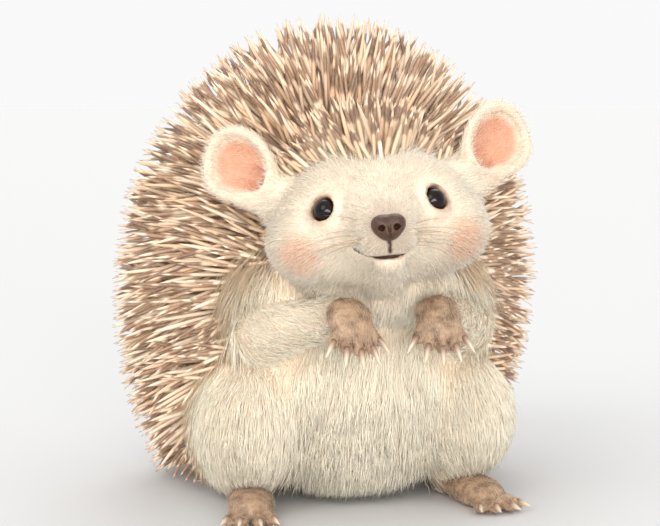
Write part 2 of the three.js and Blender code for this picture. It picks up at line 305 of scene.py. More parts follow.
@dataclass(frozen=True)
class EarForm:
    """One ear, in the head's frame: a round leaf dished in front, which a hollow root joins to the skull.

    A place on the leaf is given along it and up it, each from -1 to 1, and its reach is how far that is from
    the leaf's middle, with 1 at the rim. Pairs named for a place are where an effect starts and is full.
    """

    side: int
    root: Triple = (21.7, 1.0, 12.0)
    rise: float = 36.0
    turn: float = 22.0
    length: float = 19.5
    width: float = 17.5
    flare: float = 0.12
    flare_limit: float = 1.5
    cup: float = 3.6
    cup_level: float = 0.55
    cup_fade: float = 0.25
    curl: float = 1.1
    curl_reach: Pair = (0.72, 1.0)
    curl_along: Pair = (-0.8, -0.2)
    deepest: float = 8.0
    thick: float = 1.3
    thicken: float = 0.5
    thicken_limit: float = 1.2
    rim: float = 0.95
    rim_slope: float = 1.2
    margin: float = 0.5
    wave: float = 0.025
    waves_round: float = 3.0
    wave_turn: float = 1.0
    rib: float = 0.25
    ribs_up: float = 10.0
    ribs_slant: float = 2.0
    rib_along: Pair = (-0.9, 0.0)
    rib_reach: Pair = (0.35, 0.7)
    fold: float = 0.45
    fold_below: float = 0.42
    fold_slant: float = 0.2
    fold_width: float = 0.16
    fold_root: Pair = (-0.9, -0.4)
    fold_tip: Pair = (0.6, 0.2)
    stalk: Taper = Taper((-7.5, 3.6, -2.5), (5.0, 2.8, -0.8), 5.6, 3.4)
    lobe: Taper = Taper((-4.5, 0.6, -4.5), (5.0, 0.2, -6.6), 1.7, 0.9)
    conch: Taper = Taper((4.4, 0.2, -0.8), (8.5, -2.4, -0.2), 2.6, 3.5)
    canal: Ellipsoid = Ellipsoid((3.4, 1.8, -1.0), (1.3, 2.6, 1.6))
    rim_blend: float = 0.8
    root_blend: float = 3.2
    hollow_blend: float = 0.9
    middle_along: float = 0.38
    middle_behind: float = 1.0
    ball: float = 15.0

    @cached_property
    def pose(self) -> Pose:
        """Where the leaf lies in the head."""
        x, y, z = self.root
        return Pose((self.side * x, y, z), roll=-self.side * self.rise, yaw=self.side * self.turn)

    @cached_property
    def middle(self) -> Array:
        """The middle of the leaf, in the head's frame."""
        out = self.side * self.length * self.middle_along
        return self.pose.outward(np.array([out, self.middle_behind, 0.0]))

    def own(self, q: Array) -> Array:
        """Points of the head's frame in the ear's own, where both ears have the shape of the left one."""
        return self.pose.inward(q) * np.array([self.side, 1.0, 1.0])

    def leaf(self, q: Array) -> Arrays:
        """Places on the leaf.

        Args:
            q: Points in the head's frame.

        Returns:
            How far each lies along the leaf and up it, and how many millimetres behind its middle surface.
        """
        e = self.own(q)
        along = 2.0 * e[:, 0] / self.length - 1.0
        widest = self.width * (1.0 + self.flare * np.clip(along, -self.flare_limit, self.flare_limit))
        up = 2.0 * e[:, 2] / widest
        middle = self.cup * (self.cup_level - along**2 - up**2) * (1.0 - self.cup_fade * along)
        near_rim = ease(*self.curl_reach, np.sqrt(along**2 + up**2))
        middle -= self.curl * near_rim * ease(*self.curl_along, along)
        return along, up, e[:, 1] - np.clip(middle, -self.deepest, self.deepest)

    def relief(self, along: Array, up: Array, reach: Array) -> Array:
        """How far the ribs of the dish, and the fold above its lower edge, stand forward.

        Args:
            along: How far points lie along the leaf.
            up: How far they lie up it.
            reach: How far they are from its middle.

        Returns:
            A height for each.
        """
        ribs = self.rib * np.cos(self.ribs_up * up + self.ribs_slant * along)
        ribs = ribs * ease(*self.rib_along, along) * (1.0 - ease(*self.rib_reach, reach))
        fold = self.fold * hump(up + self.fold_below - self.fold_slant * along, self.fold_width)
        return ribs + fold * ease(*self.fold_root, along) * ease(*self.fold_tip, along)

    def hollow(self, q: Array) -> Array:
        """Distances outside the bowl and the canal at the ear's root, for points in the head's frame."""
        e = self.own(q)
        return np.minimum(self.conch.outside(e), self.canal.outside(e))

    def outside(self, q: Array) -> Array:
        """Distances outside the ear.

        Args:
            q: Points in the head's frame.

        Returns:
            A distance for each.
        """
        along, up, behind = self.leaf(q)
        reach = np.sqrt(along**2 + up**2)
        half = self.thick / 2.0 * (1.0 + self.thicken * np.minimum(reach, self.thicken_limit) ** 2)
        slab = np.abs(behind + self.relief(along, up, reach)) - half
        turned = self.waves_round * np.arctan2(up, along) + self.wave_turn
        waves = self.wave * np.cos(turned) * self.width / 2.0
        past = (reach - 1.0) * self.width / 2.0 + self.margin + waves + self.rim
        rim = np.hypot(past, behind - self.rim_slope * past) - self.rim
        leaf = join(self.rim_blend, np.maximum(slab, past), rim)
        e = self.own(q)
        whole = join(self.root_blend, leaf, self.stalk.outside(e), self.lobe.outside(e))
        return carve(self.hollow_blend, whole, self.hollow(q))


@dataclass(frozen=True)
class EyeForm:
    """One eye, in the animal's frame."""

    centre: Array
    radius: float
    axis: Array
    slit: Array

    def lateral(self, p: Array) -> Arrays:
        """How far points lie along the slit of the lids, across it, and out along the eye's axis."""
        q = p - self.centre
        return q @ self.slit, q @ np.cross(self.axis, self.slit), q @ self.axis

    def outside(self, p: Array) -> Array:
        """Distances outside the eyeball."""
        return norm(p - self.centre) - self.radius


@dataclass(frozen=True)
class HeadForm:
    """The head, with its own frame level and facing -Y about the middle of the skull."""

    pose: Pose = Pose((-1.2, -59.0, 67.5), pitch=-8.0, roll=-5.5, yaw=-12.0)
    ears: tuple[EarForm, EarForm] = (EarForm(LEFT), EarForm(RIGHT))
    skull: Ellipsoid = Ellipsoid((0.0, 2.0, 1.5), (24.5, 22.0, 19.5), below=14.5)
    cheek: Ellipsoid = Ellipsoid((12.2, -2.0, -2.8), (14.0, 14.0, 10.3))
    snout: Taper = Taper((0.0, -9.0, -0.5), (0.0, -32.0, -2.8), 13.0, 4.8)
    bridge: Taper = Taper((0.0, -12.0, 6.0), (0.0, -31.0, 0.6), 6.0, 2.8)
    jaw: Taper = Taper((0.0, -8.0, -8.0), (0.0, -27.0, -7.4), 7.5, 2.8)
    crown: Ellipsoid = Ellipsoid((0.0, 10.0, 9.0), (24.5, 24.5, 22.5))
    lip: Ellipsoid = Ellipsoid((2.9, -31.2, -4.6), (2.5, 3.6, 2.3))
    chin: Ellipsoid = Ellipsoid((0.0, -28.6, -8.3), (2.9, 3.4, 2.0))
    blend: float = 7.0
    lip_blend: float = 1.6
    chin_blend: float = 2.0
    jaw_blend: float = 1.0
    crease_blend: float = 0.4
    least_fur: float = 0.55
    back_fur: float = 1.9
    back_range: Pair = (-26.0, 4.0)
    cheek_fur: float = 1.3
    cheek_range: Pair = (2.0, -10.0)
    chin_fur: float = 0.5
    jaw_fur: float = 0.8
    jaw_range: Pair = (-24.0, -8.0)
    nose_tip: Triple = (0.0, -38.5, -1.6)
    face: Triple = (0.0, -16.0, 1.0)
    middle: Triple = (0.0, -6.0, 1.0)
    ball: float = 35.0
    mouth_front: float = -35.2
    mouth: tuple[Pair, ...] = ((0.0, -6.9), (1.5, -7.4), (3.5, -7.6), (6.0, -7.0), (9.0, -5.9), (11.2, -4.7))
    mouth_middle: Triple = (0.0, -29.0, -6.0)
    mouth_ball: float = 14.0
    mouth_margin: float = 3.0
    philtrum: Pair = (-33.0, -3.0)
    line: float = 0.22
    line_widens: float = 0.4
    line_range: Pair = (4.0, 9.0)
    crease: float = 0.6

    @property
    def most_fur(self) -> float:
        """How deep the fur is where it is deepest, low on the cheeks."""
        return self.least_fur + self.back_fur + self.cheek_fur

    def fur_depth(self, q: Array) -> Array:
        """How deep the fur lies over the skin: least on the muzzle, and most low on the cheeks."""
        back, low = ease(*self.back_range, q[:, 1]), ease(*self.cheek_range, q[:, 2])
        return self.least_fur + self.back_fur * back + self.cheek_fur * back * low

    def outline(self, q: Array) -> Array:
        """Distances outside the head's furred outline, for points in its own frame."""
        return join(
            self.blend,
            self.skull.outside(q),
            mirrored(self.cheek, q),
            self.snout.outside(q),
            self.bridge.outside(q),
        )

    def outside(self, q: Array) -> Array:
        """Distances outside the head's skin, without its ears and lids.

        Args:
            q: Points in its own frame.

        Returns:
            A distance for each.
        """
        skin = join(self.lip_blend, self.outline(q) + self.fur_depth(q), mirrored(self.lip, q))
        jaw = self.jaw.outside(q) + self.chin_fur + self.jaw_fur * ease(*self.jaw_range, q[:, 1])
        jaw = join(self.chin_blend, jaw, self.chin.outside(q))
        solid = join(self.jaw_blend, skin, jaw)
        return carve(self.crease_blend, solid, np.maximum(self.lines(q), -solid - self.crease))

    def outside_ears(self, q: Array) -> Array:
        """Distances outside the nearer ear, for points in the head's frame."""
        return np.minimum(*[near(ear.outside, q, ear.middle, ear.ball) for ear in self.ears])

    def lines(self, q: Array) -> Array:
        """Distances outside the line of the mouth and the groove under the nose."""
        return near(self.seams, q, self.mouth_middle, self.mouth_ball, self.mouth_margin)

    def seams(self, q: Array) -> Array:
        """Distances outside two thin sheets: one level with the mouth, and one upright below the nose.

        Args:
            q: Points in the head's frame.

        Returns:
            A distance for each.
        """
        back = q[:, 1] - self.mouth_front
        level = np.interp(back, *np.transpose(self.mouth))
        line = self.line * (1.0 + self.line_widens * ease(*self.line_range, back))
        mouth = np.maximum(np.abs(q[:, 2] - level) - line, back - self.mouth[-1][0])
        behind, top = self.philtrum
        walls = [np.abs(q[:, 0]) - self.line, q[:, 1] - behind, q[:, 2] - top, level - q[:, 2]]
        return np.minimum(mouth, np.maximum.reduce(walls))


@dataclass(frozen=True)
class Toe:
    """One toe: the turn of its axis, in degrees, and its length."""

    turn: float
    length: float


@dataclass(frozen=True)
class PawForm:
    """A paw in its own frame, its toes towards -Y and its sole down.

    Its toes leave it at root_y and level, spread along an arc, and droop to their tips. Its claw is (length,
    radius, droop). The sizes named toe_ are in radii of a toe.
    """

    pose: Pose
    flesh: tuple[Ellipsoid, ...]
    pads: tuple[Ellipsoid, ...]
    toes: tuple[Toe, ...]
    root_y: float
    level: float
    droop: float
    radius: float
    spread: float
    claw: Triple
    middle: Triple
    ball: float
    fur: float = 0.12
    toe_shaft: Pair = (0.9, 0.7)
    toe_knuckle: float = 0.9
    toe_knuckle_up: float = 0.18
    toe_pad: Triple = (0.82, 1.0, 0.7)
    toe_pad_down: float = 0.16
    knuckle_shares: Pair = (0.42, 0.58)
    palm_blend: float = 2.5
    pads_blend: float = 0.6
    sole_blend: float = 0.9
    knuckle_blend: float = 0.5
    toes_blend: float = 0.4

    def ends(self, toe: Toe) -> Arrays:
        """Where a toe starts and ends.

        Args:
            toe: The toe.

        Returns:
            Its start, its tip and the way it points, in the paw's frame.
        """
        angle = math.radians(toe.turn)
        heading = np.array([math.sin(angle), -math.cos(angle), 0.0])
        start = np.array([heading[0] * self.spread, self.root_y, self.level])
        end = start + heading * toe.length - np.array([0.0, 0.0, self.droop])
        return start, end, heading

    def outside(self, p: Array) -> Array:
        """Distances outside the paw's skin, for points in the animal's frame."""
        return near(self.skin, self.pose.inward(p), self.middle, self.ball)

    def skin(self, q: Array) -> Array:
        """Distances outside the paw's skin.

        Args:
            q: Points in its own frame.

        Returns:
            A distance for each.
        """
        palm = join(self.palm_blend, *[shape.outside(q) for shape in self.flesh])
        pads = join(self.pads_blend, *[shape.outside(q) for shape in self.pads])
        solid = join(self.sole_blend, palm + self.fur, pads)
        for toe in self.toes:
            solid = join(self.toes_blend, solid, self.toe(toe, q))
        return solid

    def toe(self, toe: Toe, q: Array) -> Array:
        """Distances outside one toe: its shaft, its knuckle and its pad.

        Args:
            toe: The toe.
            q: Points in the paw's frame.

        Returns:
            A distance for each.
        """
        start, end, _ = self.ends(toe)
        wide, narrow = (self.radius * share for share in self.toe_shaft)
        shaft = Taper(tuple(start), tuple(end), wide, narrow)
        at_root, at_tip = self.knuckle_shares
        above = np.array([0.0, 0.0, self.radius * self.toe_knuckle_up])
        middle = tuple(start * at_root + end * at_tip + above)
        knuckle = Ellipsoid(middle, (self.radius * self.toe_knuckle,) * 3)
        below = np.array([0.0, 0.0, self.radius * self.toe_pad_down])
        pad = Ellipsoid(tuple(end - below), tuple(self.radius * share for share in self.toe_pad))
        return join(self.knuckle_blend, *[shape.outside(q) for shape in (shaft, knuckle, pad)])


def forepaw(side: int) -> PawForm:
    """The forepaw of one side, its toes hanging forward and down."""
    return PawForm(
        pose=Pose((side * 10.2, -69.0, 49.1), pitch=42.0, yaw=-side * 8.0),
        flesh=(Ellipsoid((0.0, 0.4, 0.0), (5.1, 4.7, 3.4)), Ellipsoid((0.0, -3.4, -0.3), (4.7, 3.2, 2.2))),
        pads=(
            Ellipsoid((-2.2, -1.6, -2.5), (1.5, 1.6, 1.1)),
            Ellipsoid((0.0, -2.6, -2.6), (1.4, 1.5, 1.1)),
            Ellipsoid((2.2, -1.6, -2.5), (1.5, 1.6, 1.1)),
            Ellipsoid((1.7, 2.2, -2.3), (1.5, 1.7, 1.1)),
            Ellipsoid((-1.7, 2.2, -2.3), (1.5, 1.7, 1.1)),
        ),
        toes=(Toe(-36.0, 4.0), Toe(-16.0, 5.6), Toe(0.0, 6.2), Toe(16.0, 5.6), Toe(34.0, 4.0)),
        root_y=-2.4,
        level=0.0,
        droop=0.9,
        radius=1.5,
        spread=4.6,
        claw=(4.4, 0.85, 1.6),
        middle=(0.0, -5.0, -0.5),
        ball=13.0,
    )


def hindfoot(side: int) -> PawForm:
    """The hind foot of one side, flat on the floor."""
    return PawForm(
        pose=Pose((side * 25.0, -33.0, 0.0), yaw=side * 12.0),
        flesh=(Ellipsoid((0.0, 0.0, 3.6), (4.4, 6.0, 4.6)), Ellipsoid((0.0, -12.0, 3.2), (5.4, 11.0, 3.9))),
        pads=(
            Ellipsoid((-2.9, -15.0, 1.2), (1.7, 2.0, 1.2)),
            Ellipsoid((0.0, -16.4, 1.2), (1.7, 2.0, 1.2)),
            Ellipsoid((2.9, -15.0, 1.2), (1.7, 2.0, 1.2)),
            Ellipsoid((0.0, -3.0, 1.2), (2.6, 3.6, 1.2)),
        ),
        toes=(Toe(-25.0, 6.2), Toe(-9.0, 7.4), Toe(9.0, 7.4), Toe(25.0, 6.2)),
        root_y=-17.0,
        level=1.75,
        droop=0.05,
        radius=1.75,
        spread=5.4,
        claw=(3.8, 0.8, 0.5),
        middle=(0.0, -13.0, 3.0),
        ball=21.0,
    )


class Part(Enum):
    """The parts of the body that a point of the skin can belong to."""

    HEAD = "head"
    EAR = "ear"
    BACK = "back"
    THROAT = "throat"
    BELLY = "belly"
    FORELEG = "foreleg"
    FOREPAW = "forepaw"
    THIGH = "thigh"
    HINDFOOT = "hindfoot"
    TAIL = "tail"


@dataclass(frozen=True)
class Body:
    """The whole animal's flesh, as a field, with the outline of its quills."""

    eyes: tuple[EyeForm, ...]
    head: HeadForm = HeadForm()
    forepaws: tuple[PawForm, PawForm] = (forepaw(LEFT), forepaw(RIGHT))
    hindfeet: tuple[PawForm, PawForm] = (hindfoot(LEFT), hindfoot(RIGHT))
    back: Ellipsoid = Ellipsoid((0.0, 0.0, 50.0), (54.5, 42.0, 67.5), below=78.0, lean=0.13)
    mantle_blend: float = 15.0
    quill_depth: float = 11.0
    belly: Ellipsoid = Ellipsoid((0.0, -29.0, 35.0), (34.0, 26.0, 37.0))
    chest: Ellipsoid = Ellipsoid((0.0, -36.0, 54.0), (26.0, 21.0, 20.0))
    shoulder: Ellipsoid = Ellipsoid((18.0, -34.0, 52.0), (14.0, 15.0, 16.0))
    belly_depth: float = 3.4
    throat: Ellipsoid = Ellipsoid((0.0, -51.0, 58.0), (21.0, 18.0, 14.0))
    throat_depth: float = 3.0
    forearm: Taper = Taper((24.0, -44.0, 43.0), (11.5, -64.5, 49.4), 8.0, 4.6)
    forearm_depth: float = 1.3
    thigh: Ellipsoid = Ellipsoid((25.0, -29.0, 21.0), (15.0, 22.0, 20.0))
    knee: Ellipsoid = Ellipsoid((27.0, -42.0, 22.0), (11.0, 11.0, 13.0))
    thigh_depth: float = 2.4
    tail: Taper = Taper((0.0, 24.0, 5.0), (0.0, 42.0, 1.8), 5.5, 2.2)
    tail_depth: float = 0.8
    seat: float = 0.5
    ear_base: float = 3.0
    lid: float = 0.7
    lid_open: Pair = (2.95, 2.75)
    lid_reach: float = 6.0
    socket: float = -0.4
    trunk_blend: float = 10.0
    haunch_blend: float = 6.0
    flank_blend: float = 7.0
    ear_blend: float = 4.0
    lid_blend: float = 2.4
    lid_edge: float = 0.7
    neck_blend: float = 5.0
    wrist_blend: float = 1.8
    shoulder_blend: float = 3.0
    ankle_blend: float = 2.2
    hip_blend: float = 4.0
    rump_blend: float = 2.5
    seat_blend: float = 0.8

    def in_head(self, p: Array) -> Array:
        """Points of the animal's frame, in the head's."""
        return self.head.pose.inward(p)

    def mantle(self, p: Array) -> Array:
        """Distances outside the outline of the quills."""
        crown = self.head.crown.outside(self.in_head(p))
        return join(self.mantle_blend, self.back.outside(p), crown)

    def parts(self, p: Array) -> dict[Part, Array]:
        """Distances outside the skin of each part.

        Args:
            p: Points.

        Returns:
            The distances, by part.
        """
        q = self.in_head(p)
        shoulders = mirrored(self.shoulder, p)
        trunk = join(self.trunk_blend, self.belly.outside(p), self.chest.outside(p), shoulders)
        haunch = join(self.haunch_blend, mirrored(self.thigh, p), mirrored(self.knee, p))
        return {
            Part.HEAD: near(self.head.outside, q, self.head.middle, self.head.ball),
            Part.EAR: self.head.outside_ears(q),
            Part.BACK: self.mantle(p) + self.quill_depth,
            Part.THROAT: self.throat.outside(p) + self.throat_depth,
            Part.BELLY: trunk + self.belly_depth,
            Part.FORELEG: mirrored(self.forearm, p) + self.forearm_depth,
            Part.FOREPAW: np.minimum(*[paw.outside(p) for paw in self.forepaws]),
            Part.THIGH: haunch + self.thigh_depth,
            Part.HINDFOOT: np.minimum(*[paw.outside(p) for paw in self.hindfeet]),
            Part.TAIL: self.tail.outside(p) + self.tail_depth,
        }

    def outside(self, p: Array) -> Array:
        """Distances outside the whole skin.

        Args:
            p: Points.

        Returns:
            A distance for each.
        """
        part = self.parts(p)
        trunk = join(self.flank_blend, part[Part.BACK], part[Part.BELLY])
        head = self.with_lids(p, join(self.ear_blend, part[Part.HEAD], part[Part.EAR]))
        arm = join(self.wrist_blend, part[Part.FORELEG], part[Part.FOREPAW])
        leg = join(self.ankle_blend, part[Part.THIGH], part[Part.HINDFOOT])
        joined = [
            join(self.neck_blend, trunk, part[Part.THROAT], head),
            join(self.shoulder_blend, trunk, arm),
            join(self.hip_blend, trunk, leg),
            join(self.rump_blend, trunk, part[Part.TAIL]),
        ]
        return carve(self.seat_blend, np.minimum.reduce(joined), p[:, 2] - self.seat)

    def with_lids(self, p: Array, head: Array) -> Array:
        """Gives each eye lids, and a socket whose floor is inside the eyeball.

        Args:
            p: Points.
            head: Their distances outside the head.

        Returns:
            The same distances, with lids and sockets.
        """
        long, high = self.lid_open
        for eye in self.eyes:
            close = eye.outside(p) < self.lid_reach
            along, tall, out = eye.lateral(p[close])
            reach = np.sqrt(along**2 + tall**2 + out**2)
            gap = (np.sqrt((along / long) ** 2 + (tall / high) ** 2) - 1.0) * high
            lids = join(self.lid_blend, head[close], reach - eye.radius - self.lid)
            head[close] = carve(self.lid_edge, lids, np.maximum(gap, self.socket - out))
        return head

    def from_eye(self, p: Array) -> Array:
        """How far points are outside the nearer eyeball."""
        return np.minimum.reduce([eye.outside(p) for eye in self.eyes])

    def nearest(self, p: Array) -> Array:
        """The place in Part of the part whose skin each point is nearest to. An ear's base counts as head."""
        gaps = [gap + self.ear_base * (part is Part.EAR) for part, gap in self.parts(p).items()]
        return np.argmin(gaps, axis=0)

    def is_part(self, p: Array, *names: Part) -> Array:
        """Whether each point belongs to one of the parts named."""
        order = list(Part)
        return np.isin(self.nearest(p), [order.index(name) for name in names])


# Surfaces


@dataclass(frozen=True)
class Lattice:
    """Grid lines along each axis, as stretches of (start, end, step)."""

    x: tuple[Triple, ...]
    y: tuple[Triple, ...]
    z: tuple[Triple, ...]

    def lines(self) -> Arrays:
        """The places of the grid's lines along each axis."""
        return tuple(self.spaced(stretches) for stretches in (self.x, self.y, self.z))

    @staticmethod
    def spaced(stretches: Sequence[Triple]) -> Array:
        """Places along one axis.

        Args:
            stretches: Its stretches.

        Returns:
            The places, with a few more at the end that make the blocks whole.
        """
        pieces = [np.linspace(a, b, max(2, round((b - a) / step) + 1))[:-1] for a, b, step in stretches]
        _, end, step = stretches[-1]
        spare = -sum(len(piece) for piece in pieces) % BLOCK
        return np.concatenate([*pieces, end + step * np.arange(spare + 1)])


def cell_corners(values: Array) -> list[Array]:
    """A grid's values at each of the eight corners of its cells."""
    cells = [n - 1 for n in values.shape]
    return [values[tuple(slice(c, c + n) for c, n in zip(corner, cells))] for corner in np.ndindex(2, 2, 2)]


def sampled(outside: Field, lines: Arrays) -> Array:
    """A field's values on a grid, worked out finely only in the blocks that its surface can cross.

    Args:
        outside: The field.
        lines: The grid's lines along each axis.

    Returns:
        The values, with the right sign everywhere.
    """
    grid = np.stack(np.meshgrid(*[axis[::BLOCK] for axis in lines], indexing="ij"), axis=-1)
    rough = outside(grid.reshape(-1, 3)).reshape(grid.shape[:3])
    size = norm(grid[1:, 1:, 1:] - grid[:-1, :-1, :-1])
    least = np.minimum.reduce([np.abs(corner) for corner in cell_corners(rough)])
    blocks = np.argwhere(least < SAFETY * size)
    values = np.kron(rough, np.ones((BLOCK,) * 3))[tuple(slice(len(axis)) for axis in lines)]
    offsets = np.argwhere(np.ones((BLOCK + 1,) * 3))
    for some in np.array_split(blocks, max(1, len(blocks) // BATCH)):
        index = (some[:, None, :] * BLOCK + offsets[None]).reshape(-1, 3)
        points = np.stack([lines[axis][index[:, axis]] for axis in range(3)], axis=1)
        values[index[:, 0], index[:, 1], index[:, 2]] = outside(points)
    return values


def net(values: Array, lines: Arrays) -> tuple[Array, Array]:
    """The surface where a grid's values cross zero, with one vertex in each cell that it crosses.

    Args:
        values: The field's values on the grid.
        lines: The grid's lines along each axis.

    Returns:
        The vertices, and the faces of four corners that turn outwards.
    """
    inside = values < 0.0
    cells = tuple(n - 1 for n in values.shape)
    filled = np.sum(cell_corners(inside), axis=0)
    active = (filled > 0) & (filled < 8)
    number = np.full(cells, -1, dtype=np.int64)
    number[active] = np.arange(int(active.sum()))
    home = np.argwhere(active)
    step = np.eye(3, dtype=np.int64)
    total = np.zeros((len(home), 3))
    count = np.zeros(len(home))
    for axis in range(3):
        u, v = [other for other in range(3) if other != axis]
        for du, dv in ((0, 0), (0, 1), (1, 0), (1, 1)):
            start = home + du * step[u] + dv * step[v]
            end = start + step[axis]
            a = values[tuple(start.T)]
            b = values[tuple(end.T)]
            crossing = (a < 0.0) != (b < 0.0)
            t = np.where(crossing, a / np.where(crossing, a - b, 1.0), 0.0)
            place = np.stack([lines[i][start[:, i]] for i in range(3)], axis=1)
            place[:, axis] += t * (lines[axis][end[:, axis]] - lines[axis][start[:, axis]])
            total[crossing] += place[crossing]
            count[crossing] += 1
    faces = []
    for axis in range(3):
        u, v = [(axis + 1) % 3, (axis + 2) % 3]
        low = np.take(inside, range(values.shape[axis] - 1), axis=axis)
        high = np.take(inside, range(1, values.shape[axis]), axis=axis)
        edge = np.argwhere(low != high)
        edge = edge[(edge[:, u] > 0) & (edge[:, v] > 0) & (edge[:, u] < cells[u]) & (edge[:, v] < cells[v])]
        ring = [edge + du * step[u] + dv * step[v] for du, dv in ((-1, -1), (0, -1), (0, 0), (-1, 0))]
        quad = np.stack([number[tuple(cell.T)] for cell in ring], axis=1)
        outward = low[tuple(edge.T)]
        faces.append(np.where(outward[:, None], quad, quad[:, ::-1]))
    return total / count[:, None], np.concatenate(faces)


def slope(outside: Field, p: Array, step: float = 0.08) -> tuple[Array, Array]:
    """A field's values and gradients at points."""
    here = outside(p)
    return here, np.stack([(outside(p + step * way) - here) / step for way in np.eye(3)], axis=1)


def settled(outside: Field, p: Array, rounds: int = 2, most: float = 0.35) -> tuple[Array, Array]:
    """Points moved on to a field's surface, and the surface's normals there."""
    for _ in range(rounds):
        here, gradient = slope(outside, p)
        size2 = np.maximum(across(gradient, gradient), 0.05)
        move = -(here / size2)[:, None] * gradient
        length = np.linalg.norm(move, axis=1, keepdims=True)
        p = p + move * np.minimum(1.0, most / np.maximum(length, 1e-9))
    return p, unit(slope(outside, p)[1])


def unfolded(
    points: Array, moved: Array, normals: Array, faces: Array, least: float = 0.15, rounds: int = 4
) -> Array:
    """Moved points, of which those go back where a face would otherwise be turned over.

    Args:
        points: Where the points were.
        moved: Where they are now.
        normals: The surface's normals at them.
        faces: The faces of four corners.
        least: How square each half of a face has to be to the normals of its corners.
        rounds: How often the faces are looked at again.

    Returns:
        The points.
    """
    moved = moved.copy()
    for _ in range(rounds):
        meant = unit(normals[faces].sum(axis=1))
        for half in ((0, 1, 2), (0, 2, 3), (1, 2, 3), (1, 3, 0)):
            a, b, c = (moved[faces[:, corner]] for corner in half)
            over = across(unit(np.cross(b - a, c - a)), meant) < least
            back = faces[over].ravel()
            moved[back] = points[back]
    return moved


def hoop(first: Array, second: Array, around: int) -> Array:
    """Points round a ring, from the vectors of its two half axes."""
    angle = 2.0 * math.pi * np.arange(around) / around
    return first[..., None, :] * np.cos(angle)[:, None] + second[..., None, :] * np.sin(angle)[:, None]


def bands(rings: int, around: int) -> Array:
    """The faces of four corners between rings of points, each of which is numbered on from the one before.

    Args:
        rings: How many rings there are.
        around: How many points each has.

    Returns:
        The faces, from the first ring's to the last's.
    """
    low = np.arange(rings - 1)[:, None] * around
    turn = np.arange(around)
    following = (turn + 1) % around
    corners = (low + turn, low + around + turn, low + around + following, low + following)
    return np.stack(corners, axis=-1).reshape(-1, 4)


def fan(start: int, tip: int, around: int) -> Array:
    """The triangles from a ring of points, the first of which is numbered start, to the point at its tip."""
    turn = np.arange(around)
    return np.stack([start + turn, start + (turn + 1) % around, np.full(around, tip)], axis=1)


def mesh_object(
    name: str, points: Array, faces: Sequence[Array], traits: Mapping[str, Array] | None = None
) -> Piece:
    """A smooth-shaded mesh object.

    Args:
        name: The piece's name.
        points: Its vertices, in millimetres.
        faces: Arrays of faces, each array with one number of corners.
        traits: Values at the vertices, which the finishes read by name.

    Returns:
        The object, in the scene.
    """
    mesh = bpy.data.meshes.new(name)
    mesh.vertices.add(len(points))
    mesh.vertices.foreach_set("co", (points * MM).astype(np.float32).ravel())
    corners = np.concatenate([part.ravel() for part in faces]).astype(np.int32)
    totals = np.concatenate([np.full(len(part), part.shape[1], dtype=np.int32) for part in faces])
    mesh.loops.add(len(corners))
    mesh.loops.foreach_set("vertex_index", corners)
    mesh.polygons.add(len(totals))
    mesh.polygons.foreach_set("loop_start", np.concatenate([[0], np.cumsum(totals)[:-1]]).astype(np.int32))
    mesh.polygons.foreach_set("loop_total", totals)
    mesh.update(calc_edges=True)
    mesh.polygons.foreach_set("use_smooth", np.ones(len(totals), dtype=bool))
    for trait, values in (traits or {}).items():
        mesh.attributes.new(trait, "FLOAT", "POINT").data.foreach_set("value", values.astype(np.float32))
    piece = bpy.data.objects.new(name, mesh)
    bpy.context.scene.collection.objects.link(piece)
    return piece


def claim(piece: Piece, finish: Finish, slot: str, nodes: Sequence[str] = ()) -> None:
    """Gives a piece its finish, makes it ride on the animal, and says which nodes it stands for.

    Args:
        piece: The piece.
        finish: Its material.
        slot: The name of the finish in the record.
        nodes: The frame's nodes that it replaces.
    """
    piece.data.materials.append(finish)
    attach(piece, BODY)
    if nodes:
        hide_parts(*nodes)
    stands_for = ", ".join(nodes) or "no node"
    log.info("%s: %d faces, slot %s, stands for %s", piece.name, len(piece.data.polygons), slot, stands_for)


# Markings: values between 0 and 1 that the skin and the coat share


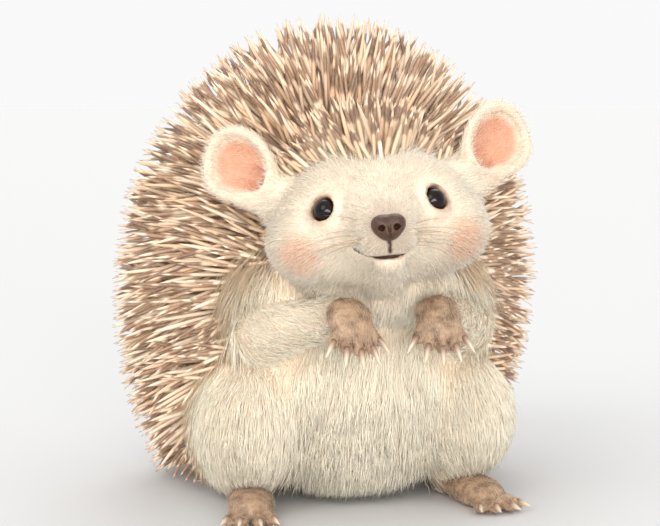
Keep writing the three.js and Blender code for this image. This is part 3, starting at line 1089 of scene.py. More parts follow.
@dataclass(frozen=True)
class Markings:
    """Where each colour of the animal lies. A Pair is where a marking starts and where it is full."""

    body: Body
    hairline: float = 2.3
    hairline_range: Pair = (30.0, 10.0)
    peak: float = 3.6
    peak_width: float = 4.6
    temple: float = 3.8
    temple_out: float = 12.5
    temple_width: float = 6.5
    under_quills: Pair = (-0.6, 1.6)
    off_ear: Pair = (0.2, 2.0)
    leg: float = 0.2
    leg_edge: Pair = (1.5, -1.5)
    leg_end: Pair = (8.0, 1.0)
    ear_dish: Pair = (0.05, -0.3)
    ear_inner: Pair = (0.74, 0.52)
    ear_hollow: Pair = (0.9, 0.2)
    blush: float = 0.85
    blush_at: Triple = (18.0, -13.5, -5.0)
    blush_size: float = 7.0
    blush_edge: Pair = (1.0, 0.35)
    paw_edge: Pair = (0.9, 0.1)
    lid: float = 0.9
    lid_edge: Pair = (1.1, 0.6)
    muzzle: float = 0.5
    muzzle_range: Pair = (-30.0, -37.0)
    muzzle_edge: Pair = (5.0, 1.0)
    # Where the painted shade in the line of the mouth and the groove under the nose fades out.
    mouth_edge: Pair = (0.34, 0.02)
    face_edge: Pair = (5.0, 0.0)

    def quilled(self, p: Array) -> Array:
        """How far points lie behind the edge of the quills.

        Args:
            p: Points.

        Returns:
            Millimetres of the quills' depth, negative in front of the edge.
        """
        q = self.body.in_head(p)
        out = np.abs(q[:, 0])
        shift = self.peak * hump(out, self.peak_width)
        shift -= self.temple * hump(out - self.temple_out, self.temple_width) * (q[:, 2] > 0.0)
        return -self.body.mantle(p) - self.hairline + shift * ease(*self.hairline_range, np.abs(q[:, 1]))

    def in_ears(self, q: Array) -> Array:
        """How far points lie inside the dish and the hollow of an ear.

        Args:
            q: Points in the head's frame.

        Returns:
            Values from 0 to 1.
        """
        inner = np.zeros(len(q))
        for ear in self.body.head.ears:
            along, up, behind = ear.leaf(q)
            dish = ease(*self.ear_dish, behind) * ease(*self.ear_inner, np.sqrt(along**2 + up**2))
            dish = np.maximum(dish, ease(*self.ear_hollow, ear.hollow(q)))
            inner = np.maximum(inner, dish * (norm(q - ear.middle) < ear.length))
        return inner

    def at(self, p: Array) -> dict[str, Array]:
        """The markings at points.

        Args:
            p: Points of the skin.

        Returns:
            Values from 0 to 1: light brown under the quills and down the limbs, which on the skin under the
            quills is partly painted shade between them; peach in the ears and on the cheeks; bare grey-brown
            skin on the feet and round the eyes; dark brown on the muzzle, with painted shade in the line of
            the mouth and the groove under the nose; and the whole face with the ears.
        """
        head = self.body.head
        q = head.pose.inward(p)
        parts = self.body.parts(p)
        limb = np.minimum(parts[Part.FORELEG], parts[Part.THIGH])
        trunk = np.minimum.reduce([parts[Part.BELLY], parts[Part.THROAT], parts[Part.HEAD]])
        paw = np.minimum(parts[Part.FOREPAW], parts[Part.HINDFOOT])
        leg = ease(*self.leg_edge, limb - trunk) * ease(*self.leg_end, paw)
        under = ease(*self.under_quills, self.quilled(p)) * ease(*self.off_ear, parts[Part.EAR])
        cheek = norm(folded(q) - np.array(self.blush_at)) / self.blush_size
        on_skin = ease(*self.muzzle_edge, np.abs(parts[Part.HEAD]))
        muzzle = self.muzzle * ease(*self.muzzle_range, q[:, 1]) * on_skin
        lids = self.lid * ease(*self.lid_edge, self.body.from_eye(p))
        return {
            # Light brown under the quills and down the limbs; on the skin under the quills it is partly
            # painted shade.
            "tan": np.clip(np.maximum(under, self.leg * leg), 0.0, 1.0),
            "peach": np.maximum(self.in_ears(q), self.blush * ease(*self.blush_edge, cheek)),
            "bare": np.maximum(ease(*self.paw_edge, paw), lids),
            # Dark brown on the muzzle, and painted shade in the line of the mouth and the groove under the
            # nose.
            "dusk": np.maximum(muzzle, ease(*self.mouth_edge, head.lines(q))),
            "face": ease(*self.face_edge, np.minimum(parts[Part.HEAD], parts[Part.EAR])),
        }


# Shader nodes


class Shade:
    """A number on a node's socket. Arithmetic on it adds Math nodes."""

    def __init__(self, recipe: Recipe, socket: Socket) -> None:
        """Wraps a socket of a recipe's tree."""
        self.recipe = recipe
        self.socket = socket

    def math(self, operation: str, *values: Shade | float) -> Shade:
        """The result of a Math node on this number and others."""
        return self.recipe.value("ShaderNodeMath", {"operation": operation}, dict(enumerate((self, *values))))

    def __add__(self, other: Shade | float) -> Shade:
        """This plus other."""
        return self.math("ADD", other)

    __radd__ = __add__

    def __mul__(self, other: Shade | float) -> Shade:
        """This times other."""
        return self.math("MULTIPLY", other)

    __rmul__ = __mul__

    def __sub__(self, other: Shade | float) -> Shade:
        """This less other."""
        return self.math("SUBTRACT", other)

    def __rsub__(self, other: float) -> Shade:
        """Other less this."""
        return self.recipe.value("ShaderNodeMath", {"operation": "SUBTRACT"}, {0: other, 1: self})

    def added(self, least: float, more: float) -> Shade:
        """The least value, and more of this added to it."""
        return least + more * self

    def rise(self, low: float, high: float) -> Shade:
        """A smooth rise from 0 to 1.

        Args:
            low: The value where it is 0.
            high: The value where it is 1, which can be the lower of the two.

        Returns:
            The rise.
        """
        settings = {"interpolation_type": "SMOOTHSTEP"}
        inputs = {"Value": self, "From Min": low, "From Max": high}
        if low > high:
            inputs = {"Value": self, "From Min": high, "From Max": low, "To Min": 1.0, "To Max": 0.0}
        return self.recipe.value("ShaderNodeMapRange", settings, inputs)


class Recipe:
    """A material and the nodes that it is made of."""

    def __init__(self, name: str) -> None:
        """Starts an empty material.

        Args:
            name: Its name.
        """
        self.material = bpy.data.materials.new(name)
        self.material.use_nodes = True
        self.tree = self.material.node_tree
        self.tree.nodes.clear()
        self.output = self.node("ShaderNodeOutputMaterial")

    def node(
        self, kind: str, settings: Mapping[str, Any] | None = None, inputs: Mapping[Any, Any] | None = None
    ) -> bpy.types.Node:
        """Adds a node.

        Args:
            kind: The node's type.
            settings: Its own settings, which are made first.
            inputs: Values or links for its sockets, by name or number.

        Returns:
            The node.
        """
        made = self.tree.nodes.new(kind)
        for setting, value in (settings or {}).items():
            setattr(made, setting, value)
        for key, value in (inputs or {}).items():
            if isinstance(value, Shade):
                value = value.socket
            if isinstance(value, Socket):
                self.tree.links.new(value, made.inputs[key])
            else:
                made.inputs[key].default_value = value
        return made

    def value(
        self, kind: str, settings: Mapping[str, Any], inputs: Mapping[Any, Any], output: int | str = 0
    ) -> Shade:
        """Adds a node, and gives one of its outputs as a number."""
        return Shade(self, self.node(kind, settings, inputs).outputs[output])

    def trait(self, name: str) -> Shade:
        """The mesh's own values of a name."""
        return self.value("ShaderNodeAttribute", {"attribute_name": name}, {}, "Fac")

    def place(self) -> Socket:
        """The place on the object, in metres."""
        return self.node("ShaderNodeTexCoord").outputs["Object"]

    def noise(self, scale: float, detail: float = 3.0, roughness: float = 0.55) -> Shade:
        """Cloudy noise, with about `scale` clouds to a metre."""
        inputs = {"Vector": self.place(), "Scale": scale, "Detail": detail, "Roughness": roughness}
        return self.value("ShaderNodeTexNoise", {}, inputs, "Fac")

    def cells(self, scale: float) -> Shade:
        """The distance to the nearest of a scatter of points, about `scale` of them to a metre."""
        return self.value("ShaderNodeTexVoronoi", {}, {"Vector": self.place(), "Scale": scale}, "Distance")

    def mix(self, amount: Shade | float, first: Any, second: Any) -> Socket:
        """A colour between two, each a link or a hex code."""
        low, high = (colour(shade) if isinstance(shade, str) else shade for shade in (first, second))
        return self.node(
            "ShaderNodeMix", {"data_type": "RGBA"}, {"Factor": amount, 6: low, 7: high}
        ).outputs[2]

    def bump(self, height: Shade, depth: float, strength: float = 1.0) -> Socket:
        """Normals bumped by a height whose unit is `depth` millimetres."""
        inputs = {"Height": height, "Distance": depth * MM, "Strength": strength}
        return self.node("ShaderNodeBump", {}, inputs).outputs["Normal"]

    def finish(self, **inputs: Any) -> Finish:
        """Ends the recipe with a Principled surface.

        Args:
            inputs: Values or links for its sockets, named with _ for a space.

        Returns:
            The material.
        """
        named = {key.replace("_", " "): value for key, value in inputs.items()}
        surface = self.node("ShaderNodeBsdfPrincipled", {}, named)
        self.tree.links.new(surface.outputs["BSDF"], self.output.inputs["Surface"])
        return self.material


@dataclass(frozen=True)
class SkinFinish:
    """Bare skin, in the markings' colours.

    Here and in the finishes below, a scale is in clouds or cells to a metre, and a depth in millimetres. A
    Pair is where a change starts and ends, or a least value and what is added to it.
    """

    cream: str = "#f9ead3"
    face: str = "#eedcc6"
    # Light brown of the skin under the quills and on the legs, darker than the real skin so the gaps between
    # quills read as shadow: partly painted shade.
    tan: str = "#7d6049"
    peach: str = "#ce8e6e"
    bare: str = "#bb9b7e"
    bare_dark: str = "#7d614c"
    # Dark brown of the muzzle, also used as painted shade in the line of the mouth and the groove under the
    # nose.
    dusk: str = "#573d2e"
    cloud_scale: float = 420.0
    blotch_scale: float = 130.0
    flush: float = 0.2
    flush_range: Pair = (0.3, 0.75)
    tan_shares: Pair = (0.8, 0.2)
    peach_shares: Pair = (0.75, 0.25)
    pad_range: Pair = (0.35, 0.7)
    crease_scale: float = 900.0
    crease_range: Pair = (0.0, 0.6)
    pore_scale: float = 2600.0
    crease_shares: Pair = (0.7, 0.3)
    depth: float = 0.22
    roughness: float = 0.62
    bare_shine: float = 0.18

    def material(self) -> Finish:
        """Makes the material.

        Returns:
            The material.
        """
        r = Recipe("skin")
        cloud = r.noise(self.cloud_scale, detail=4.0)
        blotch = r.noise(self.blotch_scale, detail=2.0)
        base = r.mix(r.trait("face"), self.cream, self.face)
        base = r.mix(cloud.rise(*self.flush_range) * self.flush, base, self.peach)
        # Under the quills this colour is partly the skin's own and partly painted shade in the gaps between
        # them.
        base = r.mix(r.trait("tan") * blotch.added(*self.tan_shares), base, self.tan)
        base = r.mix(r.trait("peach") * cloud.added(*self.peach_shares), base, self.peach)
        pad = r.mix(cloud.rise(*self.pad_range), self.bare, self.bare_dark)
        base = r.mix(r.trait("bare"), base, pad)
        # Dark brown on the muzzle, and painted shade in the mouth's line and the groove under the nose.
        base = r.mix(r.trait("dusk"), base, self.dusk)
        crease, pore = self.crease_shares
        creases = r.cells(self.crease_scale).rise(*self.crease_range) * crease
        creases = creases + r.noise(self.pore_scale, detail=2.0) * pore
        return r.finish(
            Base_Color=base,
            Roughness=self.roughness - self.bare_shine * r.trait("bare"),
            Normal=r.bump(creases, self.depth, strength=0.7),
            Subsurface_Weight=0.12,
            Subsurface_Scale=0.0012,
            Subsurface_Radius=(1.0, 0.45, 0.3),
        )


@dataclass(frozen=True)
class QuillFinish:
    """Banded keratin: a pale foot, a brown band and a pale tip."""

    pale: str = "#f5e2c9"
    warm: str = "#debb98"
    band: str = "#a6846a"
    dark: str = "#7c604d"
    edge_shift: float = 0.16
    band_start: Pair = (0.46, 0.56)
    band_end: Pair = (0.76, 0.85)
    foot_stain: Pair = (0.2, 0.9)
    band_stain: Pair = (0.35, 0.8)
    banded: Pair = (0.16, 0.3)
    grain_scale: float = 1500.0
    grain_range: Pair = (0.4, 0.7)
    grain_tint: float = 0.18
    roughness: Pair = (0.34, 0.18)
    depth: float = 0.05

    def material(self) -> Finish:
        """Makes the material.

        Returns:
            The material.
        """
        r = Recipe("quill")
        along = r.trait("along")
        tint = r.trait("tint")
        stain = r.trait("stain")
        edge = (tint - 0.5) * self.edge_shift
        band = (along - edge).rise(*self.band_start) * (1.0 - (along - edge).rise(*self.band_end))
        foot = r.mix(stain.rise(*self.foot_stain), self.pale, self.warm)
        mark = r.mix(stain.rise(*self.band_stain), self.band, self.dark)
        base = r.mix(band * tint.rise(*self.banded), foot, mark)
        grain = r.noise(self.grain_scale, detail=2.0)
        base = r.mix(grain.rise(*self.grain_range) * self.grain_tint, base, self.warm)
        return r.finish(
            Base_Color=base,
            Roughness=grain.added(*self.roughness),
            Normal=r.bump(grain, self.depth, strength=0.5),
            Coat_Weight=0.12,
            Coat_Roughness=0.3,
        )


@dataclass(frozen=True)
class FurFinish:
    """Soft hair, in the markings' colours, with painted shade toward the foot of each hair."""

    white: str = "#fff7e3"
    face: str = "#f7ecd9"
    # Darker, warmer foot of each hair: painted shade deep in the coat.
    root: str = "#ffe9cc"
    tan: str = "#c9a87f"
    peach: str = "#f5b894"
    bare: str = "#c3a587"
    dusk: str = "#8e6f57"
    root_range: Pair = (0.0, 0.55)
    odd_hairs: Pair = (0.7, 1.0)
    odd_share: float = 0.14
    tan_shares: Pair = (0.55, 0.45)
    face_share: float = 0.85
    peach_share: float = 0.55
    bare_share: float = 0.8
    dusk_share: float = 0.75
    roughness: float = 0.75
    tip_shine: float = 0.15

    def material(self) -> Finish:
        """Makes the material.

        Returns:
            The material.
        """
        r = Recipe("fur")
        along = r.trait("along")
        tint = r.trait("tint")
        # Painted shade: the root colour at the foot of each hair, fading out along it.
        base = r.mix(along.rise(*self.root_range), self.root, self.white)
        base = r.mix(r.trait("face") * self.face_share, base, self.face)
        base = r.mix(tint.rise(*self.odd_hairs) * self.odd_share, base, self.tan)
        base = r.mix(r.trait("tan") * tint.added(*self.tan_shares), base, self.tan)
        base = r.mix(r.trait("peach") * self.peach_share, base, self.peach)
        base = r.mix(r.trait("bare") * self.bare_share, base, self.bare)
        base = r.mix(r.trait("dusk") * self.dusk_share, base, self.dusk)
        roughness = self.roughness - self.tip_shine * along
        return r.finish(Base_Color=base, Roughness=roughness, Sheen_Weight=0.25, Sheen_Roughness=0.4)


@dataclass(frozen=True)
class EyeFinish:
    """A wet, nearly black eye, whose iris is barely lighter than its pupil. Its edges are in radians."""

    pupil: str = "#060403"
    iris: str = "#24140c"
    white: str = "#3a2a20"
    fibre_scale: float = 1800.0
    pupil_edge: Pair = (0.34, 0.42)
    iris_edge: Pair = (0.95, 1.1)
    roughness: Pair = (0.04, 0.04)

    def material(self) -> Finish:
        """Makes the material.

        Returns:
            The material.
        """
        r = Recipe("eye")
        off = r.trait("off_axis")
        fibres = r.noise(self.fibre_scale)
        ring = r.mix(fibres, self.pupil, self.iris)
        base = r.mix(off.rise(*self.pupil_edge), self.pupil, ring)
        base = r.mix(off.rise(*self.iris_edge), base, self.white)
        return r.finish(Base_Color=base, Roughness=fibres.added(*self.roughness), IOR=1.36)


@dataclass(frozen=True)
class NoseFinish:
    """Moist, finely pebbled dark skin."""

    dark: str = "#38200f"
    # A lighter brown on the pebbles' domed tops and in soft clouds.
    worn: str = "#74492f"
    pebble_scale: float = 2600.0
    cloud_scale: float = 700.0
    worn_range: Pair = (0.5, 0.05)
    worn_shares: Pair = (0.5, 0.25)
    pebble_range: Pair = (0.7, 0.1)
    roughness: Pair = (0.36, 0.2)
    depth: float = 0.07

    def material(self) -> Finish:
        """Makes the material.

        Returns:
            The material.
        """
        r = Recipe("nose")
        pebbles = r.cells(self.pebble_scale)
        cloud = r.noise(self.cloud_scale)
        on_top, in_clouds = self.worn_shares
        # Lighter on the pebbles' tops, where the bump is highest, and in soft clouds.
        worn = pebbles.rise(*self.worn_range) * on_top + cloud * in_clouds
        base = r.mix(worn, self.dark, self.worn)
        return r.finish(
            Base_Color=base,
            Roughness=cloud.added(*self.roughness),
            Normal=r.bump(pebbles.rise(*self.pebble_range), self.depth, strength=0.8),
            Coat_Weight=0.12,
            Coat_Roughness=0.15,
        )


@dataclass(frozen=True)
class ClawFinish:
    """Horn: brown at the quick, paler and clearer to the point."""

    quick: str = "#8a6a58"
    horn: str = "#d9c6ae"
    grain_scale: float = 2200.0
    quick_range: Pair = (0.05, 0.75)
    roughness: Pair = (0.28, 0.15)
    depth: float = 0.04

    def material(self) -> Finish:
        """Makes the material.

        Returns:
            The material.
        """
        r = Recipe("claw")
        grain = r.noise(self.grain_scale, detail=2.0)
        base = r.mix(r.trait("along").rise(*self.quick_range), self.quick, self.horn)
        return r.finish(
            Base_Color=base,
            Roughness=grain.added(*self.roughness),
            Normal=r.bump(grain, self.depth, strength=0.4),
            Coat_Weight=0.3,
            Coat_Roughness=0.2,
        )


@dataclass(frozen=True)
class FloorFinish:
    """A plain pale studio floor."""

    tone: str = "#d4d4d4"

    def material(self) -> Finish:
        """Makes the material."""
        return Recipe("floor").finish(Base_Color=colour(self.tone), Roughness=0.85)


# Skin


@dataclass
class Skin:
    """The one skin of the whole animal."""

    body: Body
    markings: Markings
    lattice: Lattice = Lattice(
        x=(
            (-56.0, -46.0, 2.0), (-46.0, -24.0, 0.7), (-24.0, 24.0, 0.52),
            (24.0, 46.0, 0.7), (46.0, 56.0, 2.0),
        ),  # fmt: skip
        y=((-101.0, -62.0, 0.5), (-62.0, -38.0, 0.7), (-38.0, 46.0, 2.0)),
        z=(
            (-0.6, 9.0, 0.7), (9.0, 38.0, 1.6), (38.0, 58.0, 0.65),
            (58.0, 80.0, 0.5), (80.0, 97.0, 0.65), (97.0, 120.0, 2.0),
        ),  # fmt: skip
    )
    nodes: tuple[str, ...] = (
        "head", "jaw", "ear_left", "ear_right", "crown", "back", "throat", "belly", "tail",
        "foreleg_left", "foreleg_right", "forepaw_left", "forepaw_right",
        "thigh_left", "thigh_right", "hindfoot_left", "hindfoot_right",
    )  # fmt: skip
    points: Array = field(init=False)
    normals: Array = field(init=False)
    faces: Array = field(init=False)
    piece: Piece = field(init=False)

    def build(self) -> None:
        """Makes the skin's mesh, its unwrap and its finish."""
        lines = self.lattice.lines()
        points, self.faces = net(sampled(self.body.outside, lines), lines)
        moved, self.normals = settled(self.body.outside, points)
        self.points = unfolded(points, moved, self.normals, self.faces)
        self.piece = mesh_object("skin", self.points, [self.faces], self.markings.at(self.points))
        self.unwrap()
        claim(self.piece, SkinFinish().material(), "fur", self.nodes)

    def unwrap(self) -> None:
        """Lays the skin out flat in islands, for the coat's map."""
        self.piece.data.uv_layers.new(name=COAT_MAP)
        bpy.context.view_layer.objects.active = self.piece
        self.piece.select_set(True)
        bpy.ops.object.mode_set(mode="EDIT")
        bpy.ops.mesh.select_all(action="SELECT")
        bpy.ops.uv.smart_project(angle_limit=math.radians(66.0), island_margin=0.002)
        bpy.ops.object.mode_set(mode="OBJECT")
        self.piece.select_set(False)

    def ground(self) -> Ground:
        """The skin in triangles, for strands to stand on.

        Returns:
            Two for each face.
        """
        flat = np.empty(len(self.faces) * 8, dtype=np.float32)
        self.piece.data.uv_layers[COAT_MAP].data.foreach_get("uv", flat)
        uvs = flat.reshape(-1, 4, 2)
        halves = [[0, 1, 2], [0, 2, 3]]
        corners = np.concatenate([self.faces[:, half] for half in halves])
        places = np.concatenate([uvs[:, half] for half in halves])
        return Ground(self.points[corners], self.normals[corners], places)


# Strands


@dataclass(frozen=True)
class Roots:
    """Where strands stand: places, the skin's normals there, and places on the skin's unwrap."""

    points: Array
    normals: Array
    uvs: Array

    def __len__(self) -> int:
        """How many there are."""
        return len(self.points)

    def chosen(self, which: Array) -> Roots:
        """Only some of the roots."""
        return Roots(self.points[which], self.normals[which], self.uvs[which])


@dataclass(frozen=True)
class Ground:
    """Triangles of skin."""

    corners: Array
    normals: Array
    uvs: Array

    def within(self, keep: Field) -> Ground:
        """Only the triangles whose middles pass a test."""
        which = keep(self.corners.mean(axis=1))
        return Ground(self.corners[which], self.normals[which], self.uvs[which])

    def scatter(self, spacing: float, rng: Chance, crowd: float = 3.0) -> Roots:
        """Roots spread evenly over the skin.

        Args:
            spacing: The least distance between two of them.
            rng: Where chance comes from.
            crowd: How many are tried for each that could fit.

        Returns:
            The roots.
        """
        edges = np.cross(self.corners[:, 1] - self.corners[:, 0], self.corners[:, 2] - self.corners[:, 0])
        area = norm(edges) / 2.0
        tries = int(crowd * PACKING * area.sum() / spacing**2)
        chosen = rng.choice(len(area), size=tries, p=area / area.sum())
        a, b = rng.random(tries), rng.random(tries)
        over = a + b > 1.0
        a[over], b[over] = 1.0 - a[over], 1.0 - b[over]
        weights = np.stack([1.0 - a - b, a, b], axis=1)[:, :, None]
        points = (self.corners[chosen] * weights).sum(axis=1)
        tree = KDTree(tries)
        for i, point in enumerate(points):
            tree.insert(point, i)
        tree.balance()
        alive = np.ones(tries, dtype=bool)
        for i, point in enumerate(points):
            if alive[i]:
                for _, other, _ in tree.find_range(point, spacing):
                    if other > i:
                        alive[other] = False
        normals = unit((self.normals[chosen] * weights).sum(axis=1))
        return Roots(points, normals, (self.uvs[chosen] * weights).sum(axis=1)).chosen(alive)


@dataclass(frozen=True)
class StrandForm:
    """How a strand is built: its sides, and (how far along, how thick) for each ring before the tip.

    Its patch is the width of its piece of the coat's map, and the clearance is what keeps it off the floor.
    """

    sides: int
    rings: tuple[Pair, ...]
    patch: float = 0.003
    clearance: float = 0.2

    def grow(
        self,
        name: str,
        roots: Roots,
        heading: Array,
        bend: Array,
        length: Array,
        radius: Array,
        traits: Mapping[str, Array],
    ) -> Piece:
        """Makes a mesh of closed strands.

        Args:
            name: The piece's name.
            roots: Where the strands stand.
            heading: The way each leaves its root.
            bend: How far its tip is pushed aside, in lengths of the strand.
            length: Its length in millimetres.
            radius: Its greatest radius in millimetres.
            traits: One value for each strand, by name.

        Returns:
            The piece.
        """
        count, rings, sides = len(roots), len(self.rings), self.sides
        side = unit(np.cross(heading, roots.normals))
        other = np.cross(side, heading)
        along = np.array([ring[0] for ring in self.rings] + [1.0])
        reach = length[:, None, None]
        thick = radius[:, None] * np.array([ring[1] for ring in self.rings])
        curve = heading[:, None] * along[:, None] + bend[:, None] * along[:, None] ** 2
        spine = roots.points[:, None] + reach * curve
        lowest = np.append(thick, np.zeros((count, 1)), axis=1) + self.clearance
        spine[:, :, 2] = np.maximum(spine[:, :, 2], lowest)
        hoops = spine[:, :rings, None] + thick[:, :, None, None] * hoop(side, other, sides)[:, None]
        points = np.concatenate([hoops.reshape(count, -1, 3), spine[:, rings:]], axis=1)
        each = rings * sides + 1
        first = (np.arange(count) * each)[:, None, None]
        tip = fan((rings - 1) * sides, rings * sides, sides)
        shaft = bands(rings, sides)[:, [0, 3, 2, 1]]
        faces = [
            (first + tip).reshape(-1, 3),
            first[:, 0] + np.arange(sides)[::-1],
            (first + shaft).reshape(-1, 4),
        ]
        shared = {trait: np.repeat(values, each) for trait, values in traits.items()}
        shared["along"] = np.tile(np.concatenate([np.repeat(along[:rings], sides), [1.0]]), count)
        piece = mesh_object(name, points.reshape(-1, 3), faces, shared)
        self.lay_map(piece, roots, along)
        return piece

    def lay_map(self, piece: Piece, roots: Roots, along: Array) -> None:
        """Gives each strand a small patch of the coat's map, at its root's place on the skin's unwrap.

        Args:
            piece: The strands.
            roots: Where they stand.
            along: How far along them each ring is, and the tip.
        """
        across_patch = np.append(np.tile(np.arange(self.sides) / (self.sides - 1), len(self.rings)), 0.5)
        up_patch = np.append(np.repeat(along[:-1], self.sides), 1.0)
        local = (np.stack([across_patch, up_patch], axis=1) - 0.5) * self.patch
        inside = np.clip(roots.uvs, self.patch, 1.0 - self.patch)
        at_vertex = (inside[:, None] + local[None]).reshape(-1, 2)
        corner = np.empty(len(piece.data.loops), dtype=np.int32)
        piece.data.loops.foreach_get("vertex_index", corner)
        layer = piece.data.uv_layers.new(name=COAT_MAP)
        layer.data.foreach_set("uv", at_vertex[corner].astype(np.float32).ravel())


def leaning(roots: Roots, flow: Array, angle: Array) -> Array:
    """Headings that lie along a flow over the skin, raised from it by an angle in radians."""
    tangent = unit(flow - across(flow, roots.normals)[:, None] * roots.normals)
    return unit(tangent * np.cos(angle)[:, None] + roots.normals * np.sin(angle)[:, None])


def swung(roots: Roots, flow: Array, turn: Array) -> Array:
    """A flow turned about the skin's normals, by an angle in radians for each root."""
    sideways = np.cross(roots.normals, flow)
    return flow * np.cos(turn)[:, None] + sideways * np.sin(turn)[:, None]


def shortened(least: float, low: float, high: float, distance: Array) -> Array:
    """Shares that rise from the least at a low distance to 1 at a high one."""
    return least + (1.0 - least) * ease(low, high, distance)


def varied(rng: Chance, count: int, spread: float, least: float, most: float) -> Array:
    """Random factors about 1, between the least and the most."""
    return rng.normal(1.0, spread, count).clip(least, most)


@dataclass
class Quills:
    """The quills of the crown, back and flanks.

    Angles are in degrees. A Triple is what `shortened` takes before the distance, or for a spread what
    `varied` takes after the count.
    """

    body: Body
    markings: Markings
    ground: Ground
    spacing: float = 1.6
    length: float = 17.5
    length_spread: Triple = (0.07, 0.8, 1.15)
    at_rim: Triple = (0.62, 0.0, 6.0)
    crown_length: float = 14.0
    crown_back: Pair = (26.0, 12.0)
    crown_low: Pair = (-10.0, 0.0)
    crown_end: float = 16.0
    radius: float = 0.56
    radius_shares: Pair = (0.8, 0.2)
    radius_spread: Triple = (0.08, 0.8, 1.2)
    steepest: float = 50.0
    flattest: float = 6.0
    step: float = 3.0
    step_spread: float = 2.5
    stray: float = 13.0
    bend: float = 0.05
    stain: float = 0.5
    stain_spread: float = 0.22
    crown_stain: float = 0.15
    lowest: float = 1.6
    floor: float = 1.2
    proud: float = 1.0
    ear_gap: float = 0.7
    ear_tests: tuple[float, float, int] = (0.15, 1.0, 10)
    seed: int = 11
    form: StrandForm = StrandForm(6, ((0.0, 0.45), (0.08, 0.85), (0.35, 1.0), (0.68, 0.92), (0.88, 0.5)))

    def build(self) -> None:
        """Makes the quills, in pieces that each stay small enough to hand on."""
        rng = np.random.default_rng(self.seed)
        zone = self.ground.within(lambda p: self.markings.quilled(p) > 0.0)
        roots = zone.scatter(self.spacing, rng)
        bare = self.body.is_part(roots.points, Part.EAR, Part.FOREPAW, Part.HINDFOOT, Part.TAIL)
        roots = roots.chosen(~bare & (roots.points[:, 2] > self.lowest))
        q = self.body.in_head(roots.points)
        on_crown = ease(*self.crown_back, q[:, 1]) * ease(*self.crown_low, q[:, 2])
        length = self.length + (self.crown_length - self.length) * on_crown
        at_rim = shortened(*self.at_rim, self.markings.quilled(roots.points))
        length *= at_rim * varied(rng, len(roots), *self.length_spread)
        face = self.body.head.pose.outward(np.array(self.body.head.face))
        turns = np.radians(rng.normal(0.0, self.stray, len(roots)))
        flow = swung(roots, unit(roots.points - face), turns)
        heading = self.fitted(roots, flow, length, rng)
        clear = self.off_ears(roots.points, heading * length[:, None])
        roots, flow, heading, length = roots.chosen(clear), flow[clear], heading[clear], length[clear]
        q, on_crown, count = q[clear], on_crown[clear], len(roots)
        bend = (unit(flow) - roots.normals) * self.bend * rng.random(count)[:, None]
        bend[:, 2] = np.maximum(bend[:, 2], 0.0)
        tint = rng.random(count)
        stain = rng.normal(self.stain, self.stain_spread, count) + self.crown_stain * on_crown
        least, more = self.radius_shares
        radius = self.radius * (least + more * length / self.length) * varied(rng, count, *self.radius_spread)
        on_head, on_left = q[:, 1] < self.crown_end, roots.points[:, 0] >= 0.0
        groups = {
            "quills_crown": on_head,
            "quills_left": ~on_head & on_left,
            "quills_right": ~on_head & ~on_left,
        }
        finish = QuillFinish().material()
        for name, which in groups.items():
            shape = (roots.chosen(which), heading[which], bend[which], length[which], radius[which])
            traits = {"tint": tint[which], "stain": np.clip(stain[which], 0.0, 1.0)}
            claim(self.form.grow(name, *shape, traits), finish, "quills")

    def fitted(self, roots: Roots, flow: Array, length: Array, rng: Chance) -> Array:
        """Headings as steep as keeps each tip inside the outline of the quills and off the floor.

        Args:
            roots: Where the quills stand.
            flow: The way they lie over the skin.
            length: Their lengths.
            rng: Where chance comes from.

        Returns:
            A heading for each.
        """
        heading = leaning(roots, flow, np.full(len(roots), math.radians(self.flattest)))
        placed = np.zeros(len(roots), dtype=bool)
        for angle in np.arange(self.steepest, self.flattest, -self.step):
            steep = leaning(roots, flow, np.radians(angle + rng.normal(0.0, self.step_spread, len(roots))))
            tip = roots.points + steep * length[:, None]
            fits = (self.body.mantle(tip) < self.proud) & (tip[:, 2] > self.floor) & ~placed
            fits[fits] = self.off_ears(roots.points[fits], steep[fits] * length[fits, None])
            heading[fits] = steep[fits]
            placed |= fits
        tip = roots.points + heading * length[:, None]
        heading[:, 2] += np.maximum(self.floor - tip[:, 2], 0.0) / length
        return unit(heading)

    def off_ears(self, start: Array, way: Array) -> Array:
        """Whether quills that run from their starts all the way pass clear of both ears."""
        places = (self.body.in_head(start + way * along) for along in np.linspace(*self.ear_tests))
        return np.minimum.reduce([self.body.head.outside_ears(q) for q in places]) > self.ear_gap


@dataclass(frozen=True)
class Lie:
    """How fur lies on a part: back, up, apart to its own side, and out more the farther out it is."""

    back: float
    up: float
    apart: float = 0.0
    out: float = 0.0

    def at(self, p: Array) -> Array:
        """The way at points of the animal's frame."""
        return rows(len(p), self.apart * np.sign(p[:, 0]) + self.out * p[:, 0], self.back, self.up)


LIES = {
    Part.BACK: Lie(0.5, -1.0, apart=0.4),
    Part.THROAT: Lie(0.1, -1.0, out=0.02),
    Part.BELLY: Lie(0.0, -1.0, out=0.008),
    Part.FORELEG: Lie(-0.85, -0.15, apart=-0.5),
    Part.FOREPAW: Lie(-0.8, -0.7),
    Part.THIGH: Lie(-0.25, -1.0, apart=0.1),
    Part.HINDFOOT: Lie(-1.0, -0.1),
    Part.TAIL: Lie(1.0, -0.1),
}

FEET = (Part.FOREPAW, Part.HINDFOOT, Part.TAIL)
LONG_HAIR = StrandForm(3, ((0.0, 1.0), (0.4, 0.9), (0.75, 0.55)))
SHORT_HAIR = StrandForm(3, ((0.0, 1.0), (0.55, 0.75)))


@dataclass(frozen=True)
class Pelt:
    """One kind of fur: the parts it grows on, and its hairs.

    Spacing, length, radius and the size of its tufts are in millimetres, lift and stray in degrees, and the
    bend is in lengths of the hair. A pelt that is halved is one piece on each side.
    """

    name: str
    parts: tuple[Part, ...]
    spacing: float
    length: float
    radius: float
    lift: float
    stray: float
    bend: float
    tuft: float = 0.0
    form: StrandForm = LONG_HAIR
    halved: bool = False


